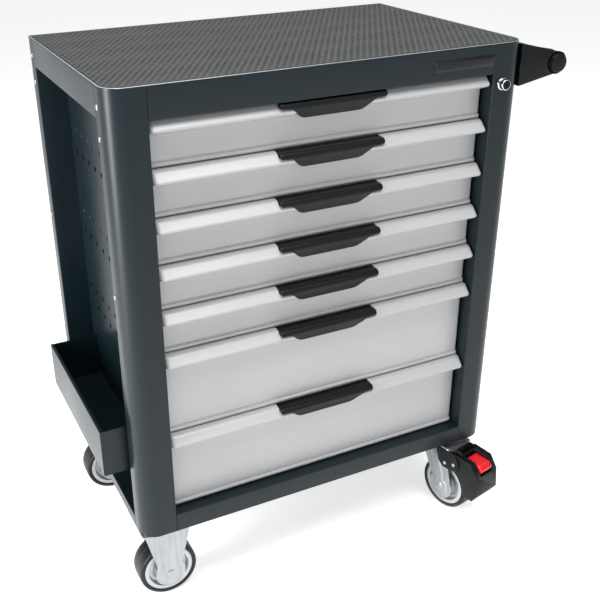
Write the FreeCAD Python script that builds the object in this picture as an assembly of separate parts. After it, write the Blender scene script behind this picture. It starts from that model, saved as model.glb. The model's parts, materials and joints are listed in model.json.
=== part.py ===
import FreeCAD, Part
import math
import os

# Rolling tool chest: a sheet-steel cabinet with seven drawers on two fixed and two swivel casters.
# Millimetres. X runs to the chest's right, Y to its back and Z up from the floor.
# Every piece is drawn about the cabinet's own centre line, then moved so that the origin lies on the
# floor under the middle of the whole chest.

# ---- driving dimensions ----
CABINET_W = 687.0            # cabinet without handle and side bin
CABINET_D = 430.0
FRAME_H = 746.0              # from the underside of the base pan to the rim of the top
CASTER_H = 155.0             # floor to the underside of the base pan
SHEET = 1.5                  # frame sheet
THIN = 1.2                   # panels, drawer fronts and bin

OPENING_W = 570.0            # drawer opening
TOP_RAIL_H = 47.5
BOTTOM_RAIL_H = 33.0
CORNER_R = 30.0              # front corners of the posts and of the top
POST_D = 45.0                # front post, front to back
REAR_POST_D = 25.0
SIDE_RECESS = 49.0           # how far the side panels sit inside the posts
SIDE_SILL_H = 20.0           # lower side rail

DRAWER_UNIT = 73.7           # height of one shallow drawer with its gap
DRAWER_GAP = 1.8
DRAWER_UNITS = (1, 1, 1, 1, 1, 2, 2)     # top drawer first
TOP_GAP = 1.5                # above the first drawer
FRONT_W = 566.0              # drawer front
PANEL_RECESS = 25.0          # front panel behind the posts' face
FRONT_BACK = 39.0            # back edge of the drawer front behind the posts' face
LIP_H = 26.0                 # pull lip from its top to the crease under it
LIP_NOSE_H = 17.0            # lower edge of the lip's nose below its top
LIP_NOSE_D = 2.2             # depth of that edge behind the nose
LIP_SLOPE_D = 11.0           # depth of the sloping face
LIP_SLOPE_H = 10.6           # height of the sloping face
LIP_TOP_D = 16.0             # where the rounded top of the slope ends
LIP_GAP = 0.5                # nose behind the posts' face
HEM_H = 5.5                  # hem along the bottom of the front
HEM_OUT = 3.0
BOX_W = 561.0                # drawer tray
BOX_L = 370.0
BOX_T = 1.0
SHALLOW_BOX_H = 58.0
DEEP_BOX_H = 131.0
DRAWER_TRAVEL = 290.0
RAIL_OVERLAP = 70.0          # moving rail left in the channel when the drawer is out

GRIP_TOP_W = 178.0           # finger grip, widest at the lip's nose
GRIP_STEP_W = 146.0
GRIP_LOW_W = 104.0
GRIP_H = 27.0
GRIP_STEP_H = 9.0
GRIP_T = 3.0
GRIP_NOSE_R = 6.5            # rounded front of the grip

RAIL_H = 35.0                # cabinet slide channel
RAIL_Z = 28.0                # its middle above the bottom of the drawer front
MOVING_RAIL_H = 30.0
MOVING_RAIL_T = 3.8

HOLE_R = 4.5                 # side panel perforation
HOLE_PITCH = 36.5
HOLE_COLUMNS = 10
HOLE_ROWS_Z = (572.0, 426.0, 281.0)      # middle of each double row above the base

BIN_L = 320.0
BIN_OUT = 41.5               # how far the bin stands out from the posts
BIN_BOTTOM_Z = 110.0
BIN_TOP_Z = 195.0
BIN_HOOK_Z = 165.0           # two hooks in the side panel, hidden behind the bin

HANDLE_OUT = 75.0            # middle of the push handle beyond the post
HANDLE_R = 16.0
HANDLE_Z = 702.0
HANDLE_L = 428.0
BRACKET_T = 22.0
BRACKET_ROOT_H = 68.0

WHEEL_R = 52.0
WHEEL_W = 44.0
RIM_R = 44.0
AXLE_R = 5.0
RUNNING_CLEARANCE = 0.06
CASTER_X_LEFT = -296.0
CASTER_X_RIGHT = 284.0
CASTER_Y = 165.0
PLATE_L = 95.0
PLATE_W = 88.0
PLATE_T = 3.0
PLATE_BOLT_X = 66.0
PLATE_BOLT_Y = 72.0
PLATE_BOLT_R = 3.0
LEG_T = 3.0
LEG_GAP = 3.0                # between tyre and caster leg
TRAIL = 35.0                 # axle behind the swivel axis
CASTER_YAW = -77.0           # how the swivel casters happen to stand, degrees

LOCK_X = 303.0
LOCK_Z = 682.0
LOCK_BARREL_R = 9.5
LOCK_PLUG_R = 6.0
CAM_R = 8.5                  # centre of the cam's pin from the plug's axis
CAM_PIN_R = 3.5
LOCK_TURN = 90.0
CATCH_Z = 49.0               # lock catch above the bottom of the drawer front
CATCH_H = 8.0

# ---- worked-out places ----
HALF_W = CABINET_W / 2
HALF_D = CABINET_D / 2
FRONT_Y = -HALF_D
BASE_Z = CASTER_H
TOP_Z = BASE_Z + FRAME_H
RIM_H = 3.5
RIM_W = 4.0
TOP_SHEET_Z = TOP_Z - RIM_H - SHEET      # underside of the top sheet
POST_BOTTOM_Z = BASE_Z + SHEET
OPENING_TOP_Z = TOP_Z - TOP_RAIL_H
PANEL_X = HALF_W - SIDE_RECESS           # outer face of the side panels
PANEL_IN_X = PANEL_X - THIN
BIN_HOOKS_Y = (-2.5 * HOLE_PITCH, 2.5 * HOLE_PITCH)
REAR_POST_Y = HALF_D - REAR_POST_D
PANEL_Y = FRONT_Y + PANEL_RECESS         # face of the drawer front panels
FRONT_BACK_Y = FRONT_Y + FRONT_BACK
RAIL_FRONT_Y = FRONT_Y + POST_D - 2.0
WHEEL_Z = WHEEL_R
PIN_SWING = 2 * CAM_R * math.sin(math.radians(LOCK_TURN / 2))

# The middle of the whole chest in plan. The handle stands out further than the bin, and the front
# caster's brake further than the back.
PLAN_CENTRE = (25.5, -37.324)


# ---- shape helpers ----
def vec(x, y, z):
    return FreeCAD.Vector(x, y, z)


def block(x0, x1, y0, y1, z0, z1):
    low = vec(min(x0, x1), min(y0, y1), min(z0, z1))
    return Part.makeBox(abs(x1 - x0), abs(y1 - y0), abs(z1 - z0), low)


def rod(radius, length, base, direction):
    return Part.makeCylinder(radius, length, vec(*base), vec(*direction))


def ring(outer, inner, length, base, direction):
    return rod(outer, length, base, direction).cut(rod(inner, length, base, direction))


def union(shapes):
    joined = shapes[0].fuse(shapes[1:]) if len(shapes) > 1 else shapes[0]
    return joined.removeSplitter()


def mirror_x(shape):
    return shape.mirror(vec(0, 0, 0), vec(1, 0, 0))


def mirror_y(shape):
    return shape.mirror(vec(0, 0, 0), vec(0, 1, 0))


def group(shapes):
    return Part.makeCompound(shapes)


def outline(points, to_space):
    """A closed wire through points. A point written (a, b, "arc") is the middle of an arc."""
    edges = []
    corners = list(points) + [points[0]]
    index = 0
    while index < len(corners) - 1:
        start = corners[index]
        after = corners[index + 1]
        if len(after) == 3:
            end = corners[index + 2]
            arc = Part.Arc(to_space(*start[:2]), to_space(*after[:2]), to_space(*end[:2]))
            edges.append(arc.toShape())
            index += 2
        else:
            edges.append(Part.makeLine(to_space(*start[:2]), to_space(*after[:2])))
            index += 1
    return Part.Wire(edges)


def plan_prism(points, z0, z1):
    """An outline in plan, x and y, raised from z0 to z1."""
    wire = outline(points, lambda x, y: vec(x, y, z0))
    return Part.Face(wire).extrude(vec(0, 0, z1 - z0))


def side_prism(points, x0, x1):
    """An outline seen from the side, y and z, run from x0 to x1."""
    wire = outline(points, lambda y, z: vec(x0, y, z))
    return Part.Face(wire).extrude(vec(x1 - x0, 0, 0))


def front_prism(points, y0, y1):
    """An outline seen from the front, x and z, run from y0 to y1."""
    wire = outline(points, lambda x, z: vec(x, y0, z))
    return Part.Face(wire).extrude(vec(0, y1 - y0, 0))


def rounded_front(half_w, front_y, back_y, radius, z0, z1):
    """A block whose two front vertical edges are rounded."""
    mid = radius * (1 - math.sqrt(0.5))
    points = [
        (half_w, back_y),
        (half_w, front_y + radius),
        (half_w - mid, front_y + mid, "arc"),
        (half_w - radius, front_y),
        (-half_w + radius, front_y),
        (-half_w + mid, front_y + mid, "arc"),
        (-half_w, front_y + radius),
        (-half_w, back_y),
    ]
    return plan_prism(points, z0, z1)


# ---- cabinet ----
def front_post_blank():
    """The right front post before its holes: a folded channel with a rounded corner, open inwards."""
    z0 = POST_BOTTOM_Z
    z1 = TOP_SHEET_Z
    back = FRONT_Y + POST_D
    outer = rounded_front(HALF_W, FRONT_Y, back, CORNER_R, z0, z1)
    inner = rounded_front(
        HALF_W - SHEET, FRONT_Y + SHEET, back - SHEET, CORNER_R - SHEET, z0, z1
    )
    half_opening = OPENING_W / 2
    keep = block(half_opening, HALF_W, FRONT_Y, back, z0, z1)
    shell = outer.cut(inner).common(keep)
    lip_back = FRONT_Y + 30.0
    inner_return = block(half_opening, half_opening + SHEET, FRONT_Y + SHEET, lip_back, z0, z1)
    web_gap = block(half_opening, PANEL_IN_X, back - SHEET, back, z0, z1)
    return union([shell.cut(web_gap), inner_return])


def rear_post():
    """The right rear post: a channel with its open side towards the middle."""
    z0 = POST_BOTTOM_Z
    z1 = TOP_SHEET_Z
    outer = block(PANEL_IN_X, HALF_W, REAR_POST_Y, HALF_D - THIN, z0, z1)
    inner = block(PANEL_IN_X, HALF_W - SHEET, REAR_POST_Y + SHEET, HALF_D - THIN, z0, z1)
    return outer.cut(inner)


LEFT_SCREW_HEIGHTS = (716.0, 672.0, 434.0)
RIGHT_SCREW_HEIGHTS = (560.0, 434.0)     # the handle brackets cover the upper ones
SCREW_R = 2.0
SCREW_SEATS_Y = (FRONT_Y + 36.0, REAR_POST_Y + 12.0)


def screw_places():
    """Side, y and z of each side screw: -1 is the left side, 1 the right."""
    places = []
    for side, heights in ((-1, LEFT_SCREW_HEIGHTS), (1, RIGHT_SCREW_HEIGHTS)):
        for height in heights:
            for y in SCREW_SEATS_Y:
                places.append((side, y, BASE_Z + height))
    return places


def screw_holes():
    cutters = []
    for side, y, z in screw_places():
        base = (side * (HALF_W - 2 * SHEET), y, z)
        cutters.append(rod(SCREW_R + 0.1, 4 * SHEET, base, (side, 0, 0)))
    return cutters


def front_posts():
    blank = front_post_blank()
    lock_base = (LOCK_X, FRONT_Y - SHEET, BASE_Z + LOCK_Z)
    lock_hole = rod(LOCK_BARREL_R + 0.1, 4 * SHEET, lock_base, (0, 1, 0))
    return mirror_x(blank).cut(screw_holes()), blank.cut(screw_holes() + [lock_hole])


def rear_posts():
    right = rear_post()
    return group([mirror_x(right).cut(screw_holes()), right.cut(screw_holes())])


def hole_places():
    """Y and z of every perforation of a side panel."""
    first = -HOLE_PITCH * (HOLE_COLUMNS - 1) / 2
    places = []
    for middle in HOLE_ROWS_Z:
        for row in (-0.5, 0.5):
            for column in range(HOLE_COLUMNS):
                places.append((first + column * HOLE_PITCH, BASE_Z + middle + row * HOLE_PITCH))
    return places


def side_panels():
    front = FRONT_Y + POST_D
    panel = block(PANEL_IN_X, PANEL_X, front, REAR_POST_Y, POST_BOTTOM_Z, TOP_SHEET_Z)
    places = hole_places() + [(y, BASE_Z + BIN_HOOK_Z) for y in BIN_HOOKS_Y]
    holes = [rod(HOLE_R, 4 * THIN, (PANEL_IN_X - THIN, y, z), (1, 0, 0)) for y, z in places]
    right = panel.cut(holes)
    return group([mirror_x(right), right])


def back_panel():
    half = HALF_W - SHEET
    return block(-half, half, HALF_D - THIN, HALF_D, POST_BOTTOM_Z, TOP_SHEET_Z)


def top_tray():
    """The top: a sheet with a raised rim for the mat, and the rails folded down between the posts."""
    sheet = rounded_front(HALF_W, FRONT_Y, HALF_D, CORNER_R, TOP_SHEET_Z, TOP_Z)
    recess = rounded_front(
        HALF_W - RIM_W, FRONT_Y + RIM_W, HALF_D - RIM_W, CORNER_R - RIM_W, TOP_SHEET_Z + SHEET, TOP_Z
    )
    half_opening = OPENING_W / 2
    rail_back = FRONT_Y + 20.0
    front_skin = block(-half_opening, half_opening, FRONT_Y, FRONT_Y + SHEET, OPENING_TOP_Z, TOP_SHEET_Z)
    front_return = block(
        -half_opening, half_opening, FRONT_Y, rail_back, OPENING_TOP_Z, OPENING_TOP_Z + SHEET
    )
    side_front = FRONT_Y + POST_D
    side_skin = block(HALF_W - SHEET, HALF_W, side_front, REAR_POST_Y, OPENING_TOP_Z, TOP_SHEET_Z)
    side_return = block(PANEL_X, HALF_W, side_front, REAR_POST_Y, OPENING_TOP_Z, OPENING_TOP_Z + SHEET)
    right_rail = side_skin.fuse(side_return)
    return union([sheet.cut(recess), front_skin, front_return, right_rail, mirror_x(right_rail)])


def top_mat():
    gap = 0.4
    inset = RIM_W + gap
    return rounded_front(
        HALF_W - inset, FRONT_Y + inset, HALF_D - inset, CORNER_R - inset,
        TOP_SHEET_Z + SHEET, TOP_Z + 0.5,
    )


def plate_bolt_places(middle_x, middle_y):
    places = []
    for side in (-0.5, 0.5):
        for end in (-0.5, 0.5):
            places.append((middle_x + side * PLATE_BOLT_X, middle_y + end * PLATE_BOLT_Y))
    return places


def caster_places():
    places = []
    for x in (CASTER_X_LEFT, CASTER_X_RIGHT):
        for y in (-CASTER_Y, CASTER_Y):
            places.append((x, y))
    return places


def base_pan():
    """The floor of the cabinet with its front rail and side sills."""
    half_opening = OPENING_W / 2
    floor = rounded_front(HALF_W, FRONT_Y, HALF_D, CORNER_R, BASE_Z, BASE_Z + SHEET)
    for x, y in caster_places():
        for bolt_x, bolt_y in plate_bolt_places(x, y):
            floor = floor.cut(rod(PLATE_BOLT_R + 0.1, SHEET, (bolt_x, bolt_y, BASE_Z), (0, 0, 1)))
    rail_top = BASE_Z + BOTTOM_RAIL_H
    skin = block(-half_opening, half_opening, FRONT_Y, FRONT_Y + SHEET, POST_BOTTOM_Z, rail_top)
    shelf = block(-half_opening, half_opening, FRONT_Y, FRONT_BACK_Y, rail_top - SHEET, rail_top)
    side_front = FRONT_Y + POST_D
    sill_top = BASE_Z + SIDE_SILL_H
    sill_skin = block(HALF_W - SHEET, HALF_W, side_front, REAR_POST_Y, POST_BOTTOM_Z, sill_top)
    sill_shelf = block(PANEL_X, HALF_W, side_front, REAR_POST_Y, sill_top - SHEET, sill_top)
    sill = sill_skin.fuse(sill_shelf)
    return union([floor, skin, shelf, sill, mirror_x(sill)])


def drawer_bottoms():
    """The height of each drawer front's lower edge, top drawer first, with its height."""
    edges = []
    top = OPENING_TOP_Z - TOP_GAP
    for units in DRAWER_UNITS:
        height = units * DRAWER_UNIT - DRAWER_GAP
        edges.append((top - height, height))
        top -= units * DRAWER_UNIT
    return edges


def cabinet_slide_rails():
    """The fixed channel of every drawer slide, screwed to the inside of the side panels."""
    rails = []
    tip_x = BOX_W / 2 + 1.0
    for bottom, _ in drawer_bottoms():
        middle = bottom + RAIL_Z
        low = middle - RAIL_H / 2
        high = middle + RAIL_H / 2
        back = REAR_POST_Y + 8.0
        outer = block(tip_x, PANEL_IN_X, RAIL_FRONT_Y, back, low, high)
        inner = block(tip_x, PANEL_IN_X - THIN, RAIL_FRONT_Y, back, low + THIN, high - THIN)
        right = outer.cut(inner)
        rails.append(right)
        rails.append(mirror_x(right))
    return group(rails)


def badge_plate():
    """The blank name plate at the right end of the front rail."""
    middle_z = TOP_Z - 25.0
    plate = block(172.0, 283.0, FRONT_Y - 1.2, FRONT_Y, middle_z - 8.5, middle_z + 8.5)
    upright = [edge for edge in plate.Edges if abs(edge.tangentAt(0).y) > 0.9]
    return plate.makeFillet(2.0, upright)


# ---- lock ----
def lock_cylinder():
    axis = (0, 1, 0)
    z = BASE_Z + LOCK_Z
    collar = rod(LOCK_BARREL_R + 2.0, 2.5, (LOCK_X, FRONT_Y - 2.5, z), axis)
    barrel = rod(LOCK_BARREL_R, 41.0, (LOCK_X, FRONT_Y - 11.0, z), axis)
    nut = rod(LOCK_BARREL_R + 0.8, 4.0, (LOCK_X, FRONT_Y + SHEET, z), axis)
    bore = rod(LOCK_PLUG_R + RUNNING_CLEARANCE, 60.0, (LOCK_X, FRONT_Y - 20.0, z), axis)
    return union([collar, barrel, nut]).cut(bore)


CAM_FRONT_Y = FRONT_Y + 34.0
BAR_FRONT_Y = FRONT_Y + 39.5
BAR_BACK_Y = FRONT_Y + 42.5


def lock_plug():
    """The turning core with its key slot, and the cam and pin on its back end. Unlocked, pin up."""
    z = BASE_Z + LOCK_Z
    front = FRONT_Y - 11.5
    core = rod(LOCK_PLUG_R, CAM_FRONT_Y - front, (LOCK_X, front, z), (0, 1, 0))
    slot = block(LOCK_X - 1.0, LOCK_X + 1.0, front, front + 8.0, z - 4.2, z + 4.2)
    lean = math.radians(LOCK_TURN / 2)
    pin_x = LOCK_X - CAM_R * math.cos(lean)
    pin_z = z + CAM_R * math.sin(lean)
    arm = front_prism(
        [
            (LOCK_X + 3.0, z + 5.0),
            (pin_x + 2.0, pin_z + 3.0),
            (pin_x - 3.0, pin_z - 2.0),
            (LOCK_X - 5.0, z - 3.0),
        ],
        CAM_FRONT_Y - 1.0, CAM_FRONT_Y + 2.5,
    )
    boss = rod(LOCK_PLUG_R, 3.5, (LOCK_X, CAM_FRONT_Y - 1.0, z), (0, 1, 0))
    pin = rod(CAM_PIN_R, BAR_BACK_Y - CAM_FRONT_Y, (pin_x, CAM_FRONT_Y, pin_z), (0, 1, 0))
    return union([core.cut(slot), arm, boss, pin])


def lock_bar():
    """The upright bar in the right post: one tab above the catch of each drawer, and a fork for the pin."""
    bar_x0 = OPENING_W / 2 + 2.0
    bar_x1 = bar_x0 + 4.0
    lean = math.radians(LOCK_TURN / 2)
    pin_z = BASE_Z + LOCK_Z + CAM_R * math.sin(lean)
    fork_half = CAM_PIN_R + 0.6
    fork_x1 = LOCK_X - CAM_R * math.cos(lean) + CAM_PIN_R + 1.0
    lowest = drawer_bottoms()[-1][0]
    strip = block(bar_x0, bar_x1, BAR_FRONT_Y, BAR_BACK_Y, lowest + 20.0, pin_z + fork_half + 4.0)
    pieces = [strip]
    for side in (-1, 1):
        near = pin_z + side * fork_half
        far = near + side * 4.0
        pieces.append(block(bar_x1 - 0.5, fork_x1, BAR_FRONT_Y, BAR_BACK_Y, near, far))
    for bottom, _ in drawer_bottoms():
        tab_z = bottom + CATCH_Z - 1.0 + PIN_SWING
        tip_x = BOX_W / 2 + 1.0
        pieces.append(block(tip_x, bar_x0 + 0.5, BAR_FRONT_Y, BAR_BACK_Y, tab_z, tab_z + 6.0))
    return union(pieces)


# ---- drawers ----
def front_section(bottom, top):
    """The drawer front from the side: hem, crease, panel, crease, and a lip that slopes up from its nose."""
    nose_y = FRONT_Y + LIP_GAP
    slope_z = top - 2.0
    return [
        (FRONT_BACK_Y, bottom),
        (PANEL_Y - HEM_OUT, bottom),
        (PANEL_Y - HEM_OUT, bottom + HEM_H),
        (PANEL_Y, bottom + HEM_H + 1.0),
        (PANEL_Y, top - LIP_H),
        (nose_y + LIP_NOSE_D, top - LIP_NOSE_H),
        (nose_y, slope_z - LIP_SLOPE_H - 2.0, "arc"),
        (nose_y + 1.0, slope_z - LIP_SLOPE_H),
        (nose_y + LIP_SLOPE_D, slope_z),
        (nose_y + LIP_SLOPE_D + 2.2, top - 0.5, "arc"),
        (nose_y + LIP_TOP_D, top),
        (FRONT_BACK_Y, top),
    ]


def front_hollow(bottom, top):
    """The inside of the drawer front, open at the back."""
    nose_y = FRONT_Y + LIP_GAP
    return [
        (FRONT_BACK_Y + 1.0, bottom + THIN),
        (PANEL_Y + THIN, bottom + THIN),
        (PANEL_Y + THIN, top - LIP_H + 0.5),
        (nose_y + LIP_NOSE_D + 1.7, top - LIP_NOSE_H + 0.6),
        (nose_y + LIP_NOSE_D, top - 2.6 - LIP_SLOPE_H),
        (nose_y + LIP_SLOPE_D + 1.0, top - 3.0),
        (nose_y + LIP_TOP_D, top - THIN),
        (FRONT_BACK_Y + 1.0, top - THIN),
    ]


def grip_outline(top, clearance):
    """The grip seen from the front: wide along the nose, then an S-curve to its lower edge."""
    half_top = GRIP_TOP_W / 2 + clearance
    half_step = GRIP_STEP_W / 2 + clearance
    half_low = GRIP_LOW_W / 2 + clearance
    step_z = top - GRIP_STEP_H - clearance
    low_z = top - GRIP_H - clearance
    middle_x = (half_step + half_low) / 2
    middle_z = (step_z + low_z) / 2
    bulge = 1.6
    right = [
        (half_top, top + 2.0),
        (half_top, step_z + 4.0),
        (half_top - 1.2, step_z + 1.2, "arc"),
        (half_top - 4.0, step_z),
        (half_step, step_z),
        (middle_x + 4.0 + bulge, middle_z + 5.5 + bulge, "arc"),
        (middle_x, middle_z),
        (middle_x - 4.0 - bulge, middle_z - 5.5 - bulge, "arc"),
        (half_low - 8.0, low_z),
    ]
    left = [(-point[0],) + point[1:] for point in reversed(right)]
    return right + left


def grip_section(top):
    """The grip seen from the side: a rounded cap in the lip's notch and a skirt to pull on."""
    nose_y = FRONT_Y + GRIP_NOSE_R + 0.5
    nose_r = GRIP_NOSE_R + 0.7
    skirt_z = top - GRIP_H
    return [
        (PANEL_Y - 0.5, top),
        (nose_y, top),
        (nose_y - nose_r * 0.75, top - GRIP_NOSE_R * 0.35, "arc"),
        (nose_y - nose_r, top - GRIP_NOSE_R),
        (nose_y - nose_r + 1.2, top - 2 * GRIP_NOSE_R),
        (nose_y - nose_r + 9.5, skirt_z),
        (nose_y - nose_r + 9.5 + GRIP_T, skirt_z),
        (nose_y - nose_r + 1.2 + GRIP_T, top - 2 * GRIP_NOSE_R),
        (nose_y - nose_r + GRIP_T, top - GRIP_NOSE_R),
        (nose_y - 1.0, top - GRIP_T),
        (PANEL_Y - 0.5, top - GRIP_T),
    ]


def drawer_front(bottom, height):
    """A folded steel front: a hollow section with end walls, rounded ends and a notch for the grip."""
    top = bottom + height
    half = FRONT_W / 2
    solid = side_prism(front_section(bottom, top), -half, half)
    hollow = side_prism(front_hollow(bottom, top), -half + THIN, half - THIN)
    lip_ends = rounded_front(half, FRONT_Y, FRONT_BACK_Y, 8.0, top - LIP_H, top)
    edge_r = 6.0
    panel_ends = rounded_front(half, PANEL_Y, FRONT_BACK_Y, edge_r, bottom + HEM_H + 1.0, top - LIP_H)
    hem_ends = rounded_front(
        half, PANEL_Y - HEM_OUT, FRONT_BACK_Y, edge_r, bottom, bottom + HEM_H + 1.0
    )
    shell = solid.common(union([lip_ends, panel_ends, hem_ends])).cut(hollow)
    notch = front_prism(grip_outline(top, 0.4), FRONT_Y - 5.0, PANEL_Y)
    wall_half = GRIP_TOP_W / 2 + 4.0
    back_wall = block(-wall_half, wall_half, PANEL_Y, PANEL_Y + THIN, top - LIP_H - 1.0, top)
    return union([shell.cut(notch), back_wall])


def drawer_grip(bottom, height):
    top = bottom + height
    half = GRIP_TOP_W / 2
    cap = side_prism(grip_section(top), -half, half)
    return cap.common(front_prism(grip_outline(top, 0.0), FRONT_Y - 5.0, PANEL_Y))


def drawer_box(bottom, height):
    """The tray, with the lock catch on its right side."""
    half = BOX_W / 2
    low = bottom + 4.0
    box_h = SHALLOW_BOX_H if height < DRAWER_UNIT else DEEP_BOX_H
    high = low + box_h
    front = FRONT_BACK_Y
    back = front + BOX_L
    tray = block(-half, half, front, back, low, high)
    room = block(-half + BOX_T, half - BOX_T, front + BOX_T, back - BOX_T, low + BOX_T, high)
    catch_z = bottom + CATCH_Z
    catch = block(half, half + 4.0, FRONT_Y + 43.5, FRONT_Y + 48.0, catch_z, catch_z + CATCH_H)
    return union([tray.cut(room), catch])


def drawer_rails(bottom):
    """The moving members of one drawer's two slides."""
    half = BOX_W / 2
    middle = bottom + RAIL_Z
    front = FRONT_Y + POST_D
    low = middle - MOVING_RAIL_H / 2
    high = middle + MOVING_RAIL_H / 2
    back = front + DRAWER_TRAVEL + RAIL_OVERLAP
    flange = 6.0
    outer = block(half, half + MOVING_RAIL_T, front, back, low, high)
    groove = block(half + THIN, half + MOVING_RAIL_T, front, back, low + flange, high - flange)
    right = outer.cut(groove)
    return group([mirror_x(right), right])


# ---- side bin and handle ----
def side_bin():
    """An open bin in the left recess, hooked into two holes of the side panel."""
    outer_x = -HALF_W - BIN_OUT
    back_x = -PANEL_X
    low = BASE_Z + BIN_BOTTOM_Z
    high = BASE_Z + BIN_TOP_Z
    half = BIN_L / 2
    hem = 5.0
    body = block(outer_x, back_x, -half, half, low, high)
    room = block(outer_x + THIN, back_x - THIN, -half + THIN, half - THIN, low + THIN, high)
    hem_strip = block(outer_x + THIN, outer_x + hem, -half + THIN, half - THIN, high - THIN, high)
    pieces = [body.cut(room), hem_strip]
    for y in BIN_HOOKS_Y:
        pieces.append(rod(HOLE_R - 0.5, 8.0, (back_x - THIN, y, BASE_Z + BIN_HOOK_Z), (1, 0, 0)))
    return union(pieces)


def handle_brackets():
    """Two tapered arms on the right side that carry the push bar."""
    bar_x = HALF_W + HANDLE_OUT
    bar_z = BASE_Z + HANDLE_Z
    root_high = bar_z + 37.0
    root_low = root_high - BRACKET_ROOT_H
    end_r = HANDLE_R + 1.5
    slope = math.radians(75.0)
    profile = [
        (HALF_W, root_low),
        (bar_x + end_r * math.cos(-slope), bar_z + end_r * math.sin(-slope)),
        (bar_x + end_r, bar_z, "arc"),
        (bar_x + end_r * math.cos(slope), bar_z + end_r * math.sin(slope)),
        (HALF_W, root_high),
    ]
    front_y = -HANDLE_L / 2 + 7.0
    arm = front_prism(profile, front_y, front_y + BRACKET_T)
    hole = rod(HANDLE_R + 0.1, HANDLE_L, (bar_x, -HANDLE_L / 2, bar_z), (0, 1, 0))
    front = arm.cut(hole)
    return group([front, mirror_y(front)])


def handle_grip():
    """The push bar: a tube with closed, slightly rounded ends."""
    base = (HALF_W + HANDLE_OUT, -HANDLE_L / 2, BASE_Z + HANDLE_Z)
    bar = rod(HANDLE_R, HANDLE_L, base, (0, 1, 0))
    ends = [edge for edge in bar.Edges if edge.Closed]
    bar = bar.makeFillet(2.5, ends)
    room = rod(HANDLE_R - 2.0, HANDLE_L - 16.0, (base[0], base[1] + 8.0, base[2]), (0, 1, 0))
    return bar.cut(room)


# ---- casters ----
LEG_IN = WHEEL_W / 2 + LEG_GAP
LEG_OUT = LEG_IN + LEG_T
PLATE_LOW_Z = BASE_Z - PLATE_T


def leg_outline(axle_x, top_half_w, top_x):
    """A caster leg seen from the side: wide at the plate, round about the axle."""
    boss = 27.0
    waist = math.radians(35.0)
    side_x = boss * math.cos(waist)
    side_z = WHEEL_Z + boss * math.sin(waist)
    return [
        (top_x - top_half_w, PLATE_LOW_Z),
        (top_x - top_half_w, PLATE_LOW_Z - 14.0),
        (axle_x - side_x, side_z),
        (axle_x, WHEEL_Z - boss, "arc"),
        (axle_x + side_x, side_z),
        (top_x + top_half_w, PLATE_LOW_Z - 14.0),
        (top_x + top_half_w, PLATE_LOW_Z),
    ]


def axle(axle_x):
    """A bolt through both legs with its head and nut."""
    reach = LEG_OUT + 1.5
    shank = rod(AXLE_R, 2 * reach, (axle_x, -reach, WHEEL_Z), (0, 1, 0))
    head = rod(11.0, 5.0, (axle_x, -LEG_OUT - 5.0, WHEEL_Z), (0, 1, 0))
    nut = rod(9.0, 5.0, (axle_x, LEG_OUT, WHEEL_Z), (0, 1, 0))
    return union([shank, head, nut])


def fixed_bracket():
    """A rigid caster's plate and two ribbed legs, drawn about the middle of its plate."""
    plate = mount_plate()
    legs = []
    for side in (-1, 1):
        leg = front_prism(leg_outline(0.0, 39.0, 0.0), side * LEG_IN, side * LEG_OUT)
        rib = block(-12.0, 12.0, side * LEG_OUT, side * (LEG_OUT + 1.2), WHEEL_Z + 26.0, PLATE_LOW_Z - 6.0)
        legs.append(leg.fuse(rib))
    hole = rod(AXLE_R, 4 * LEG_OUT, (0, -2 * LEG_OUT, WHEEL_Z), (0, 1, 0))
    return union([plate] + legs).cut(hole)


def mount_plate():
    plate = block(-PLATE_L / 2, PLATE_L / 2, -PLATE_W / 2, PLATE_W / 2, PLATE_LOW_Z, BASE_Z)
    for x, y in plate_bolt_places(0.0, 0.0):
        plate = plate.cut(rod(PLATE_BOLT_R + 0.1, PLATE_T, (x, y, PLATE_LOW_Z), (0, 0, 1)))
    return plate


RACE_R = 27.0
RACE_H = 9.0
KINGPIN_R = 7.0
CROWN_Z = PLATE_LOW_Z - RACE_H           # top of the fork's crown


def swivel_plate():
    """A swivel caster's plate with its upper race and kingpin."""
    race = rod(RACE_R, 4.0, (0, 0, PLATE_LOW_Z - 4.0), (0, 0, 1))
    kingpin = rod(KINGPIN_R, RACE_H + 5.0, (0, 0, CROWN_Z - 5.0), (0, 0, 1))
    return union([mount_plate(), race, kingpin])


def caster_mounts():
    """The fixed brackets with their axles, and the plates of the swivel casters."""
    pieces = []
    for side in (-1, 1):
        bracket = fixed_bracket()
        bolt = axle(0.0)
        for piece in (bracket, bolt):
            piece.translate(vec(CASTER_X_LEFT, side * CASTER_Y, 0))
            pieces.append(piece)
        plate = swivel_plate()
        plate.translate(vec(CASTER_X_RIGHT, side * CASTER_Y, 0))
        pieces.append(plate)
    return group(pieces)


def swivel_fork():
    """The turning half of a swivel caster: lower race, crown and legs, with the axle."""
    gap = 0.4
    race = rod(RACE_R + 2.0, RACE_H - 4.0 - gap, (0, 0, CROWN_Z), (0, 0, 1))
    crown = block(-30.0, TRAIL + 22.0, -LEG_OUT, LEG_OUT, CROWN_Z - LEG_T, CROWN_Z)
    outer = leg_outline(TRAIL, 32.0, 8.0)
    legs = []
    for side in (-1, 1):
        leg = front_prism(outer, side * LEG_IN, side * LEG_OUT)
        legs.append(leg)
    cap = block(-100, 200, -60, 60, CROWN_Z, BASE_Z)
    body = union([crown] + [leg.cut(cap) for leg in legs] + [race])
    kingpin_hole = rod(KINGPIN_R + RUNNING_CLEARANCE, 30.0, (0, 0, CROWN_Z - 10.0), (0, 0, 1))
    axle_hole = rod(AXLE_R, 4 * LEG_OUT, (TRAIL, -2 * LEG_OUT, WHEEL_Z), (0, 1, 0))
    return group([body.cut(kingpin_hole).cut(axle_hole), axle(TRAIL)])


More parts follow.
